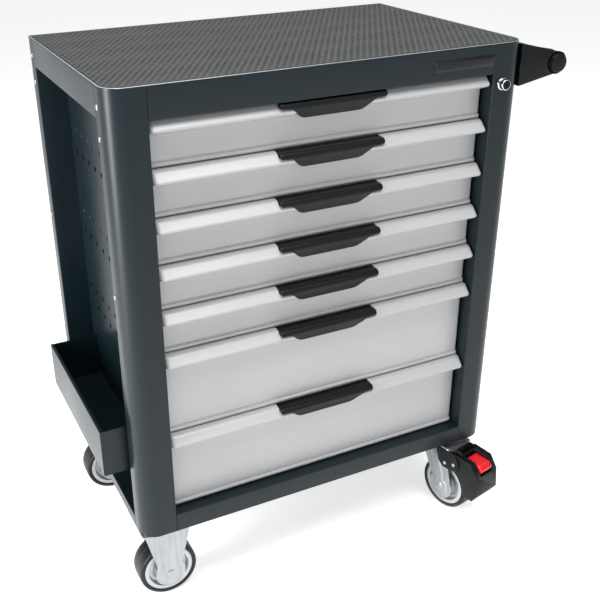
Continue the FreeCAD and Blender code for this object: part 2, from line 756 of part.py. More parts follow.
def wheel_hub(axle_x):
    """The rim: a web and hub between two flanges, with the bearing bore."""
    half = WHEEL_W / 2 - 2.0
    body = rod(RIM_R, 2 * half, (axle_x, -half, WHEEL_Z), (0, 1, 0))
    dish = []
    for side in (-1, 1):
        start = half if side > 0 else -half
        dish.append(ring(RIM_R - 4.0, 13.0, 12.0, (axle_x, start, WHEEL_Z), (0, -side, 0)))
    core = rod(13.0, 2 * LEG_IN - 0.6, (axle_x, -LEG_IN + 0.3, WHEEL_Z), (0, 1, 0))
    bore = rod(AXLE_R + RUNNING_CLEARANCE, 80.0, (axle_x, -40.0, WHEEL_Z), (0, 1, 0))
    return union([body.cut(dish), core]).cut(bore)


def wheel_tyre(axle_x):
    half = WHEEL_W / 2
    body = rod(WHEEL_R, WHEEL_W, (axle_x, -half, WHEEL_Z), (0, 1, 0))
    rims = [edge for edge in body.Edges if edge.Closed]
    body = body.makeFillet(5.0, rims)
    return body.cut(rod(RIM_R, WHEEL_W, (axle_x, -half, WHEEL_Z), (0, 1, 0)))


PEDAL_HINGE = (TRAIL + 46.0, WHEEL_Z + 76.0)     # along the wheel and up
PEDAL_W = 30.0
PEDAL_PIN_R = 2.0


def brake_cover():
    """The moulded cover over the front of the wheel, with cheeks riveted to the fork."""
    half = LEG_OUT + 2.0
    profile = [
        (TRAIL + 26.0, CROWN_Z - LEG_T - 1.0),
        (TRAIL + 66.0, CROWN_Z - 6.0),
        (TRAIL + 82.0, WHEEL_Z + 62.0),
        (TRAIL + 86.0, WHEEL_Z + 22.0),
        (TRAIL + 76.0, WHEEL_Z + 6.0),
        (TRAIL + 40.0, WHEEL_Z + 6.0),
        (TRAIL + 26.0, WHEEL_Z + 40.0),
    ]
    body = front_prism(profile, -half, half)
    wheel_room = rod(WHEEL_R + 3.5, 2 * half, (TRAIL, -half, WHEEL_Z), (0, 1, 0))
    fork_room = block(-60.0, TRAIL + 34.0, -LEG_OUT, LEG_OUT, 0.0, BASE_Z)
    pocket = block(
        PEDAL_HINGE[0] - 8.0, TRAIL + 90.0,
        -PEDAL_W / 2 - 1.0, PEDAL_W / 2 + 1.0,
        WHEEL_Z + 60.0, BASE_Z,
    )
    cheek = block(TRAIL - 14.0, TRAIL + 30.0, LEG_OUT, half, WHEEL_Z + 48.0, CROWN_Z - LEG_T - 4.0)
    cover = union([body.cut(wheel_room).cut(fork_room), cheek, mirror_y(cheek)]).cut(pocket)
    pin_reach = PEDAL_W / 2 + 7.0
    pin = rod(PEDAL_PIN_R, 2 * pin_reach, (PEDAL_HINGE[0], -pin_reach, PEDAL_HINGE[1]), (0, 1, 0))
    cover = cover.cut(pin)
    rivets = [pin]
    for side in (-1, 1):
        for x in (TRAIL - 4.0, TRAIL + 14.0):
            rivets.append(rod(3.0, 1.5, (x, side * half, WHEEL_Z + 66.0), (0, side, 0)))
    return group([cover] + rivets)


def brake_pedal():
    """The foot pedal of the brake, with its hinge roll at the inner end."""
    hinge_x, hinge_z = PEDAL_HINGE
    half = PEDAL_W / 2
    profile = [
        (hinge_x - 3.0, hinge_z - 4.0),
        (hinge_x + 34.0, hinge_z - 10.0),
        (hinge_x + 36.0, hinge_z - 4.0),
        (hinge_x + 28.0, hinge_z + 4.0),
        (hinge_x - 3.0, hinge_z + 5.0),
    ]
    bore = rod(PEDAL_PIN_R + RUNNING_CLEARANCE, PEDAL_W, (hinge_x, -half, hinge_z), (0, 1, 0))
    return front_prism(profile, -half, half).cut(bore)


def on_swivel(shape, side):
    """Turns a swivel caster's piece to the way it stands and sets it under its plate."""
    turned = shape.copy()
    turned.rotate(vec(0, 0, 0), vec(0, 0, 1), CASTER_YAW)
    turned.translate(vec(CASTER_X_RIGHT, side * CASTER_Y, 0))
    return turned


def under_left(shape, side):
    moved = shape.copy()
    moved.translate(vec(CASTER_X_LEFT, side * CASTER_Y, 0))
    return moved


# ---- fasteners ----
def fasteners():
    """Pan-head screws in the sides of the posts, and the casters' plate bolts."""
    pieces = []
    for side, y, z in screw_places():
        seat = (side * HALF_W, y, z)
        head = rod(4.5, 2.0, seat, (side, 0, 0))
        shank = rod(SCREW_R, 8.0, seat, (-side, 0, 0))
        pieces.append(union([head, shank]))
    for x, y in caster_places():
        for bolt_x, bolt_y in plate_bolt_places(x, y):
            head = rod(5.5, 4.5, (bolt_x, bolt_y, PLATE_LOW_Z - 4.5), (0, 0, 1))
            shank = rod(PLATE_BOLT_R, 16.0, (bolt_x, bolt_y, PLATE_LOW_Z - 1.0), (0, 0, 1))
            nut = rod(5.0, 5.0, (bolt_x, bolt_y, BASE_Z + SHEET), (0, 0, 1))
            pieces.append(union([head, shank, nut]))
    return group(pieces)


def all_nodes():
    """Every sub-part by name, about the cabinet's own centre line."""
    nodes = {}
    nodes["front_left_post"], nodes["front_right_post"] = front_posts()
    nodes["rear_posts"] = rear_posts()
    nodes["side_panels"] = side_panels()
    nodes["back_panel"] = back_panel()
    nodes["top_tray"] = top_tray()
    nodes["top_mat"] = top_mat()
    nodes["base_pan"] = base_pan()
    nodes["cabinet_slide_rails"] = cabinet_slide_rails()
    nodes["badge_plate"] = badge_plate()
    nodes["lock_cylinder"] = lock_cylinder()
    nodes["lock_plug"] = lock_plug()
    nodes["lock_bar"] = lock_bar()
    nodes["side_bin"] = side_bin()
    nodes["handle_brackets"] = handle_brackets()
    nodes["handle_grip"] = handle_grip()
    nodes["caster_mounts"] = caster_mounts()
    nodes["fasteners"] = fasteners()
    for number, (bottom, height) in enumerate(drawer_bottoms(), start=1):
        nodes[f"drawer_{number}_front"] = drawer_front(bottom, height)
        nodes[f"drawer_{number}_grip"] = drawer_grip(bottom, height)
        nodes[f"drawer_{number}_box"] = drawer_box(bottom, height)
        nodes[f"drawer_{number}_rails"] = drawer_rails(bottom)
    for end, side in (("front", -1), ("rear", 1)):
        nodes[f"{end}_left_hub"] = under_left(wheel_hub(0.0), side)
        nodes[f"{end}_left_tyre"] = under_left(wheel_tyre(0.0), side)
        nodes[f"{end}_right_fork"] = on_swivel(swivel_fork(), side)
        nodes[f"{end}_right_hub"] = on_swivel(wheel_hub(TRAIL), side)
        nodes[f"{end}_right_tyre"] = on_swivel(wheel_tyre(TRAIL), side)
        nodes[f"{end}_right_brake_cover"] = on_swivel(brake_cover(), side)
        nodes[f"{end}_right_brake_pedal"] = on_swivel(brake_pedal(), side)
    return nodes


def main():
    os.makedirs("parts", exist_ok=True)
    nodes = all_nodes()
    whole = Part.makeCompound(list(nodes.values()))
    bounds = whole.optimalBoundingBox(False)
    print("plan centre", (bounds.XMin + bounds.XMax) / 2, (bounds.YMin + bounds.YMax) / 2)
    print("size", bounds.XLength, bounds.YLength, bounds.ZLength, "floor", bounds.ZMin)
    shift = vec(-PLAN_CENTRE[0], -PLAN_CENTRE[1], 0)
    for name, shape in nodes.items():
        shape.translate(shift)
        shape.exportStep(f"parts/{name}.step")
        print(name, len(shape.Solids), round(shape.Volume / 1000.0, 1), "cm3", shape.isValid())


main()
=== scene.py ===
"""Looks of the rolling tool chest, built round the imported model.

Sizes are in millimetres until a mesh is made.
"""

import json
import logging
import math
from dataclasses import dataclass, field
from enum import Enum
from typing import Callable, Iterable, Sequence

import bmesh
import bpy
import numpy as np
from mathutils import Matrix, Vector


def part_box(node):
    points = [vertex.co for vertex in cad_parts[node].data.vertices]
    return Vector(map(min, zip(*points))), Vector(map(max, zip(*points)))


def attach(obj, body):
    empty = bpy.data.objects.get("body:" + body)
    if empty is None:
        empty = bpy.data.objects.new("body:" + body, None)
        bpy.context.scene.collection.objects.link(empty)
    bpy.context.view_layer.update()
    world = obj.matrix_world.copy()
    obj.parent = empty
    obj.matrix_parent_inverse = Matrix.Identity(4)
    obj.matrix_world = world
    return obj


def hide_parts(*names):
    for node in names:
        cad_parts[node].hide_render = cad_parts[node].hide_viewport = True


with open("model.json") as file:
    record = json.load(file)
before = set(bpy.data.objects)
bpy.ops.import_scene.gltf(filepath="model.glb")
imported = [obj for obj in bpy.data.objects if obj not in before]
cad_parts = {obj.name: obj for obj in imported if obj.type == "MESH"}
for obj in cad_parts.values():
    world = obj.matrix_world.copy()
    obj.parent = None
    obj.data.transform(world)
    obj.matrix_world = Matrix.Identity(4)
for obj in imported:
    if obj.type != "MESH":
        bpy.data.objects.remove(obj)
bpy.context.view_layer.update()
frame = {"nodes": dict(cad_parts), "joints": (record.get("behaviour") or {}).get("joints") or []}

log = logging.getLogger("tool_chest")
MM = 0.001
Array = np.ndarray


class Axis(Enum):
    """An axis of the chest, with the two axes of the plane it stands on."""

    X = (0, 1, 2)
    Y = (1, 0, 2)
    Z = (2, 0, 1)


class Slot(Enum):
    """The record's material slots."""

    FRAME = "frame_paint"
    DRAWER = "drawer_paint"
    TRAY = "tray_paint"
    ZINC = "zinc_steel"
    CHROME = "lock_chrome"
    MAT = "mat_rubber"
    BLACK = "black_plastic"
    BADGE = "black_gloss"
    RED = "red_plastic"
    WHEEL = "wheel_grey"
    TYRE = "tyre_rubber"


# ---------------------------------------------------------------- plane curves
def arc(centre: Sequence[float], radius: float, start: float, end: float, count: int) -> Array:
    """Points on a circle: centre plus radius times the cosine and sine of an angle that runs evenly.

    Args:
        centre: Middle of the arc.
        radius: Its radius.
        start: First angle in degrees.
        end: Last angle in degrees.
        count: Number of points.

    Returns:
        Points as an array of shape (count, 2).
    """
    angle = np.radians(np.linspace(start, end, count))
    return np.column_stack([centre[0] + radius * np.cos(angle), centre[1] + radius * np.sin(angle)])


def filleted(corners: Sequence[Sequence[float]], radii: Sequence[float], count: int = 7) -> Array:
    """An open line through corners, each inner corner replaced by an arc that touches both runs.

    Args:
        corners: The corner points, ends included.
        radii: One radius for each inner corner; 0 keeps it sharp.
        count: Points on each arc.

    Returns:
        Points as an array of shape (n, 2).
    """
    points = np.asarray(corners, float)
    runs = [points[:1]]
    for before, corner, after, radius in zip(points, points[1:], points[2:], radii):
        back = (before - corner) / np.linalg.norm(before - corner)
        ahead = (after - corner) / np.linalg.norm(after - corner)
        half = math.acos(float(np.clip(back @ ahead, -1, 1))) / 2
        if radius <= 0 or half > math.pi / 2 - 1e-3:
            runs.append(corner[None])
            continue
        start = corner + back * radius / math.tan(half)
        end = corner + ahead * radius / math.tan(half)
        middle = corner + (back + ahead) / np.linalg.norm(back + ahead) * radius / math.sin(half)
        first = math.atan2(*(start - middle)[::-1])
        turn = (math.atan2(*(end - middle)[::-1]) - first + math.pi) % (2 * math.pi) - math.pi
        angle = first + turn * np.linspace(0, 1, count)
        runs.append(middle + radius * np.column_stack([np.cos(angle), np.sin(angle)]))
    runs.append(points[-1:])
    return np.concatenate(runs)


def spaced(line: Array, spacing: float) -> Array:
    """The line with points added evenly on each run, so that none is further apart than the spacing."""
    runs = [
        np.linspace(a, b, 2 + int(np.linalg.norm(b - a) / spacing))[:-1] for a, b in zip(line, line[1:])
    ]
    return np.concatenate([*runs, line[-1:]])


def thickened(line: Array, thickness: float) -> Array:
    """A closed outline of folded sheet: the line, then the same line set off to its left, run back.

    Args:
        line: Open line of the sheet's one face.
        thickness: Sheet thickness; the other face lies to the left of the line's direction.

    Returns:
        Closed outline, shape (2n, 2).
    """
    step = np.diff(line, axis=0)
    step /= np.linalg.norm(step, axis=1)[:, None]
    left = np.column_stack([-step[:, 1], step[:, 0]])
    before = np.concatenate([left[:1], left])
    after = np.concatenate([left, left[-1:]])
    bisector = before + after
    bisector /= (bisector * bisector).sum(1)[:, None] / 2
    return np.concatenate([line, (line + bisector * thickness)[::-1]])


def round_front(half: float, front: float, back: float, radius: float, count: int = 12) -> Array:
    """A closed outline in plan: a rectangle whose two front corners are quarter circles.

    Args:
        half: Half width about x = 0.
        front: Y of the front edge.
        back: Y of the back edge.
        radius: Radius of the front corners.
        count: Points on each corner.

    Returns:
        Closed outline, anticlockwise from above, from the back left corner.
    """
    left = arc((-half + radius, front + radius), radius, 180, 270, count)
    right = arc((half - radius, front + radius), radius, 270, 360, count)
    return np.concatenate([[(-half, back)], left, right, [(half, back)]])


def smooth(value: Array, low: float, high: float) -> Array:
    """An S-curve of the value: 0 below low, 1 above high, 3t² - 2t³ between them."""
    t = np.clip((np.asarray(value, float) - low) / (high - low), 0, 1)
    return t * t * (3 - 2 * t)


# ---------------------------------------------------------------- surfaces
@dataclass
class Surface:
    """Points and faces of a piece while it is worked out.

    Attributes:
        points: Shape (n, 3).
        faces: Lists of point numbers.
    """

    points: Array
    faces: list[list[int]]

    @staticmethod
    def grid(points: Array, wrap_rows: bool = False, wrap_columns: bool = False) -> "Surface":
        """Four-sided faces between neighbours of a grid of points, by whole-array index shifts.

        Args:
            points: Shape (rows, columns, 3).
            wrap_rows: Joins the last row to the first.
            wrap_columns: Joins the last column to the first.

        Returns:
            The surface.
        """
        rows, columns = points.shape[:2]
        number = np.arange(rows * columns).reshape(rows, columns)
        if wrap_rows:
            number = np.concatenate([number, number[:1]])
        if wrap_columns:
            number = np.concatenate([number, number[:, :1]], axis=1)
        quads = np.stack([number[:-1, :-1], number[:-1, 1:], number[1:, 1:], number[1:, :-1]], -1)
        return Surface(points.reshape(-1, 3), quads.reshape(-1, 4).tolist())

    @staticmethod
    def tube(rows: Array) -> "Surface":
        """A grid closed round its columns, with its first and last row filled by a face.

        Args:
            rows: Shape (rows, columns, 3).

        Returns:
            The surface.
        """
        surface = Surface.grid(rows, wrap_columns=True)
        count = rows.shape[1]
        last = (rows.shape[0] - 1) * count
        surface.faces.append(list(range(count)))
        surface.faces.append(list(range(last + count - 1, last - 1, -1)))
        return surface

    @staticmethod
    def prism(outline: Array, axis: Axis, low: float, high: float) -> "Surface":
        """A closed outline carried straight along an axis.

        Args:
            outline: Shape (n, 2), in the axis's plane.
            axis: Direction of the run.
            low: Start along the axis.
            high: End along the axis.

        Returns:
            The closed surface.
        """
        along, first, second = axis.value
        rows = np.zeros((2, len(outline), 3))
        rows[:, :, first] = outline[:, 0]
        rows[:, :, second] = outline[:, 1]
        rows[0, :, along] = low
        rows[1, :, along] = high
        return Surface.tube(rows)

    @staticmethod
    def lathe(profile: Array, axis: Axis, count: int = 48, closed: bool = False) -> "Surface":
        """A profile of (radius, along) turned about an axis through the origin.

        Args:
            profile: Shape (n, 2). It starts and ends on the axis, or is a closed loop.
            axis: The axis turned about.
            count: Steps round.
            closed: The profile is a loop clear of the axis.

        Returns:
            The surface.
        """
        along, first, second = axis.value
        angle = np.linspace(0, 2 * np.pi, count, endpoint=False)
        rows = np.zeros((len(profile), count, 3))
        rows[:, :, first] = profile[:, :1] * np.cos(angle)
        rows[:, :, second] = profile[:, :1] * np.sin(angle)
        rows[:, :, along] = profile[:, 1:]
        return Surface.grid(rows, wrap_rows=closed, wrap_columns=True)

    def moved(self, by: Sequence[float]) -> "Surface":
        """The surface shifted by a vector."""
        return Surface(self.points + np.asarray(by, float), self.faces)

    def mirrored(self, axis: int, about: float = 0.0) -> "Surface":
        """The surface mirrored across the plane where that axis has the value about."""
        points = self.points.copy()
        points[:, axis] = 2 * about - points[:, axis]
        return Surface(points, [face[::-1] for face in self.faces])

    def turned(self, degrees: float) -> "Surface":
        """The surface turned about the upright axis through the origin."""
        c, s = math.cos(math.radians(degrees)), math.sin(math.radians(degrees))
        turn = np.array([[c, s, 0], [-s, c, 0], [0, 0, 1]])
        return Surface(self.points @ turn, self.faces)

    @staticmethod
    def join(parts: Iterable["Surface"]) -> "Surface":
        """Several surfaces as one, with their point numbers shifted."""
        points, faces, offset = [], [], 0
        for part in parts:
            points.append(part.points)
            faces += [[corner + offset for corner in face] for face in part.faces]
            offset += len(part.points)
        return Surface(np.concatenate(points), faces)


# ---------------------------------------------------------------- pieces
@dataclass(frozen=True)
class Softening:
    """How a piece's edges are finished.

    Attributes:
        width: Edge radius in mm, 0 for none.
        segments: Steps across it.
        angle: Edges sharper than this many degrees get it.
        wall: Thickness given to an open surface in mm, 0 for none.
    """

    width: float = 0.0
    segments: int = 2
    angle: float = 30.0
    wall: float = 0.0


def settle(piece: bpy.types.Object, soft: Softening) -> None:
    """Gives a piece its wall and soft edges, then marks the soft edges in a face attribute named edge.

    Args:
        piece: Object with a plain mesh.
        soft: The wall and the edges.
    """
    if soft.wall:
        solid = piece.modifiers.new("wall", "SOLIDIFY")
        solid.thickness = soft.wall * MM
        solid.offset = -1
        solid.use_even_offset = True
    if soft.width:
        bevel = piece.modifiers.new("edges", "BEVEL")
        bevel.width = soft.width * MM
        bevel.segments = soft.segments
        bevel.limit_method = "ANGLE"
        bevel.angle_limit = math.radians(soft.angle)
        bevel.use_clamp_overlap = False
        bevel.harden_normals = False
        # The bevel faces are marked so that the paint can lighten them: a painted edge highlight as well as
        # wear.
        bevel.material = 1
        while len(piece.data.materials) < 2:
            piece.data.materials.append(None)
    if piece.modifiers:
        graph = bpy.context.evaluated_depsgraph_get()
        made = bpy.data.meshes.new_from_object(piece.evaluated_get(graph))
        piece.modifiers.clear()
        piece.data = made
    mesh = piece.data
    kind = np.zeros(len(mesh.polygons), np.int32)
    mesh.polygons.foreach_get("material_index", kind)
    edge = mesh.attributes.new("edge", "FLOAT", "FACE")
    edge.data.foreach_set("value", (kind > 0).astype(np.float32))
    mesh.polygons.foreach_set("material_index", np.zeros(len(kind), np.int32))
    mesh.shade_smooth()
    mesh.set_sharp_from_angle(angle=math.radians(38))


def finish_piece(
    piece: bpy.types.Object, body: str, dress: bpy.types.Material, stands_for: Sequence[str]
) -> bpy.types.Object:
    """Dresses a piece, sets it on its body and hides the nodes that it stands for.

    Args:
        piece: The settled object.
        body: CAD body that it moves with.
        dress: Its material.
        stands_for: CAD nodes that it replaces.

    Returns:
        The piece.
    """
    piece.data.materials.clear()
    piece.data.materials.append(dress)
    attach(piece, body)
    if stands_for:
        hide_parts(*stands_for)
    log.info("%s: %d faces on %s", piece.name, len(piece.data.polygons), body)
    return piece


def forge(
    name: str,
    surface: Surface,
    body: str,
    dress: bpy.types.Material,
    stands_for: Sequence[str] = (),
    soft: Softening = Softening(),
    outward: bool = True,
) -> bpy.types.Object:
    """Makes a piece from a worked-out surface.

    Args:
        name: Object name.
        surface: Its points and faces in mm.
        body: CAD body that it moves with.
        dress: Its material.
        stands_for: CAD nodes that it replaces.
        soft: Wall and edges.
        outward: Recalculates the faces so that closed shells face out.

    Returns:
        The finished object.
    """
    mesh = bpy.data.meshes.new(name)
    mesh.from_pydata((surface.points * MM).tolist(), [], surface.faces)
    work = bmesh.new()
    work.from_mesh(mesh)
    bmesh.ops.remove_doubles(work, verts=work.verts, dist=1e-6)
    if outward:
        bmesh.ops.recalc_face_normals(work, faces=work.faces)
    work.to_mesh(mesh)
    work.free()
    piece = bpy.data.objects.new(name, mesh)
    bpy.context.scene.collection.objects.link(piece)
    settle(piece, soft)
    return finish_piece(piece, body, dress, stands_for)


def softened(
    node: str, name: str, body: str, dress: bpy.types.Material, soft: Softening
) -> bpy.types.Object:
    """A merged copy of a CAD node with soft edges, which stands for the node.

    Args:
        node: CAD node copied.
        name: Name of the piece.
        body: CAD body that it moves with.
        dress: Its material.
        soft: The edges.

    Returns:
        The finished object.
    """
    mesh = frame["nodes"][node].data.copy()
    mesh.name = name
    work = bmesh.new()
    work.from_mesh(mesh)
    bmesh.ops.remove_doubles(work, verts=work.verts, dist=2e-6)
    bmesh.ops.dissolve_limit(
        work, angle_limit=math.radians(0.5), verts=work.verts, edges=work.edges, delimit={"NORMAL"}
    )
    work.to_mesh(mesh)
    work.free()
    mesh.polygons.foreach_set("material_index", np.zeros(len(mesh.polygons), np.int32))
    piece = bpy.data.objects.new(name, mesh)
    bpy.context.scene.collection.objects.link(piece)
    settle(piece, soft)
    return finish_piece(piece, body, dress, [node])


def dress_node(node: str, dress: bpy.types.Material) -> None:
    """Puts a material on a CAD node whose shape stays."""
    mesh = frame["nodes"][node].data
    mesh.materials.clear()
    mesh.materials.append(dress)
    log.info("%s: kept from the model", node)


def box_mm(node: str) -> tuple[Array, Array]:
    """Lowest and highest corner of a CAD node in mm."""
    low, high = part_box(node)
    return np.array(low) / MM, np.array(high) / MM


# ---------------------------------------------------------------- shader node groups
Link = bpy.types.NodeSocket


class Sheet:
    """A short way to write nodes into a tree."""

    def __init__(self, tree: bpy.types.NodeTree) -> None:
        """Keeps the tree."""
        self.tree = tree

    def add(self, kind: str, settings: dict | None = None, **inputs: object) -> bpy.types.Node:
        """Adds a node.

        Args:
            kind: Node type.
            settings: Its properties.
            **inputs: Values or links for its inputs, by name with _ for a space.

        Returns:
            The node.
        """
        node = self.tree.nodes.new(kind)
        for key, value in (settings or {}).items():
            setattr(node, key, value)
        for key, value in inputs.items():
            socket = node.inputs[int(key[1:])] if key[1:].isdigit() else node.inputs[key.replace("_", " ")]
            if isinstance(value, bpy.types.NodeSocket):
                self.tree.links.new(value, socket)
            else:
                socket.default_value = value
        return node

    def maths(self, operation: str, first: object, second: object = 0.0, clamp: bool = False) -> Link:
        """The result of a math node on two values or links."""
        node = self.add(
            "ShaderNodeMath", {"operation": operation, "use_clamp": clamp}, i0=first, i1=second
        )
        return node.outputs[0]

    def mix(self, share: object, first: object, second: object) -> Link:
        """A colour between two colours or links, by a share from 0 to 1."""
        node = self.add("ShaderNodeMix", {"data_type": "RGBA"})
        for index, value in ((0, share), (6, first), (7, second)):
            if isinstance(value, bpy.types.NodeSocket):
                self.tree.links.new(value, node.inputs[index])
            else:
                node.inputs[index].default_value = value
        return node.outputs[2]

    def ramp(self, value: Link, low: float, high: float, start: float = 0.0, end: float = 1.0) -> Link:
        """A value mapped smoothly from the range low to high onto start to end."""
        node = self.add(
            "ShaderNodeMapRange", {"interpolation_type": "SMOOTHSTEP"}, Value=value
        )
        for key, number in (("From Min", low), ("From Max", high), ("To Min", start), ("To Max", end)):
            node.inputs[key].default_value = number
        return node.outputs[0]

    def noise(self, vector: Link, scale: object, detail: float = 3.0, rough: float = 0.5) -> Link:
        """The grey value of a noise pattern."""
        node = self.add(
            "ShaderNodeTexNoise", None, Vector=vector, Scale=scale, Detail=detail, Roughness=rough
        )
        return node.outputs[0]


def make_group(
    name: str,
    takes: dict[str, tuple[str, float]],
    gives: dict[str, str],
    fill: Callable[[Sheet, dict], dict],
) -> bpy.types.NodeTree:
    """Builds a shader node group.

    Args:
        name: Group name.
        takes: Input names with their socket type and default.
        gives: Output names with their socket type.
        fill: Writes the nodes: takes the sheet and the input links, returns the output links.

    Returns:
        The group.
    """
    tree = bpy.data.node_groups.new(name, "ShaderNodeTree")
    for label, (kind, value) in takes.items():
        socket = tree.interface.new_socket(label, in_out="INPUT", socket_type=f"NodeSocket{kind}")
        if kind == "Float":
            socket.default_value = value
    for label, kind in gives.items():
        tree.interface.new_socket(label, in_out="OUTPUT", socket_type=f"NodeSocket{kind}")
    sheet = Sheet(tree)
    entry = tree.nodes.new("NodeGroupInput")
    leave = tree.nodes.new("NodeGroupOutput")
    results = fill(sheet, {label: entry.outputs[label] for label in takes})
    for label, link in results.items():
        tree.links.new(link, leave.inputs[label])
    return tree


def fill_skin(sheet: Sheet, given: dict[str, Link]) -> dict[str, Link]:
    """Fine surface relief, a soft tone mottle and a slow roughness drift, all from object position."""
    fine = sheet.noise(given["Position"], given["Grain scale"], 2.0, 0.55)
    coarse = sheet.noise(given["Position"], sheet.maths("MULTIPLY", given["Grain scale"], 0.31), 1.0, 0.4)
    relief = sheet.maths("ADD", sheet.maths("MULTIPLY", fine, 0.6), sheet.maths("MULTIPLY", coarse, 0.4))
    slow = sheet.noise(given["Position"], given["Tone scale"], 4.0, 0.6)
    tone = sheet.maths("SUBTRACT", slow, 0.5)
    return {"Relief": relief, "Tone": tone, "Drift": sheet.noise(given["Position"], 4.0, 2.0)}


def fill_wear_and_edge_highlight(sheet: Sheet, given: dict[str, Link]) -> dict[str, Link]:
    """Lighter edges from the edge attribute broken up by noise, partly wear and partly a painted edge
    highlight, and hairline scuffs along X.
    """
    edge = sheet.add("ShaderNodeAttribute", {"attribute_name": "edge"}).outputs["Fac"]
    patch = sheet.noise(given["Position"], 60.0, 4.0, 0.6)
    rubbed_and_lit = sheet.maths("MULTIPLY", edge, sheet.ramp(patch, 0.35, 0.7))
    stretch = sheet.add("ShaderNodeMapping", None, Vector=given["Position"])
    stretch.inputs["Scale"].default_value = (14.0, 260.0, 420.0)
    hair = sheet.ramp(sheet.noise(stretch.outputs[0], 1.0, 3.0, 0.7), 0.66, 0.74)
    return {
        "Edges": sheet.maths("MULTIPLY", rubbed_and_lit, given["Amount"], clamp=True),
        "Scuffs": sheet.maths("MULTIPLY", hair, given["Amount"], clamp=True),
    }


def fill_dust(sheet: Sheet, given: dict[str, Link]) -> dict[str, Link]:
    """Fine dust that is thickest at the floor and fades out at the given height, broken by noise."""
    height = sheet.add("ShaderNodeSeparateXYZ", None, Vector=given["Position"]).outputs["Z"]
    share = sheet.maths("DIVIDE", height, given["Height"])
    low = sheet.maths("SUBTRACT", 1.0, share, clamp=True)
    patch = sheet.ramp(sheet.noise(given["Position"], 38.0, 5.0, 0.65), 0.35, 0.75, 0.25, 1.0)
    mask = sheet.maths("MULTIPLY", low, patch)
    return {"Mask": sheet.maths("MULTIPLY", mask, given["Amount"], clamp=True)}


def fill_lines(sheet: Sheet, given: dict[str, Link]) -> dict[str, Link]:
    """Rolled-steel streaks: noise stretched along one axis by the mapping outside."""
    streak = sheet.noise(given["Stretched"], 1.0, 4.0, 0.65)
    cloud = sheet.noise(given["Stretched"], 0.07, 2.0, 0.5)
    return {"Streak": streak, "Cloud": cloud}


class Effects:
    """The node groups that several materials share."""

    def __init__(self) -> None:
        """Builds each group once."""
        self.skin = make_group(
            "moulded_skin",
            {"Position": ("Vector", 0.0), "Grain scale": ("Float", 900.0), "Tone scale": ("Float", 6.0)},
            {"Relief": "Float", "Tone": "Float", "Drift": "Float"},
            fill_skin,
        )
        # Lighter edges, partly wear and partly painted edge highlight, and scuffs.
        self.wear_and_highlight = make_group(
            "handling_wear_and_edge_highlight",
            {"Position": ("Vector", 0.0), "Amount": ("Float", 0.5)},
            {"Edges": "Float", "Scuffs": "Float"},
            fill_wear_and_edge_highlight,
        )
        self.dust = make_group(
            "floor_dust",
            {"Position": ("Vector", 0.0), "Height": ("Float", 0.2), "Amount": ("Float", 0.3)},
            {"Mask": "Float"},
            fill_dust,
        )
        self.lines = make_group(
            "rolled_lines",
            {"Stretched": ("Vector", 0.0)},
            {"Streak": "Float", "Cloud": "Float"},
            fill_lines,
        )


# ---------------------------------------------------------------- finishes
Colour = tuple[float, float, float]
DUST_COLOUR: Colour = (0.42, 0.40, 0.37)
DUST_ROUGHNESS = 0.35
SCUFF_SHARE = 0.22
STREAK_GAIN = 0.62
CLOUD_SHARE = 0.25
BUMP_STRENGTH = 0.6


def rgba(colour: Colour, gain: float = 1.0) -> tuple[float, float, float, float]:
    """A colour with its gain applied and alpha 1."""
    return (colour[0] * gain, colour[1] * gain, colour[2] * gain, 1.0)


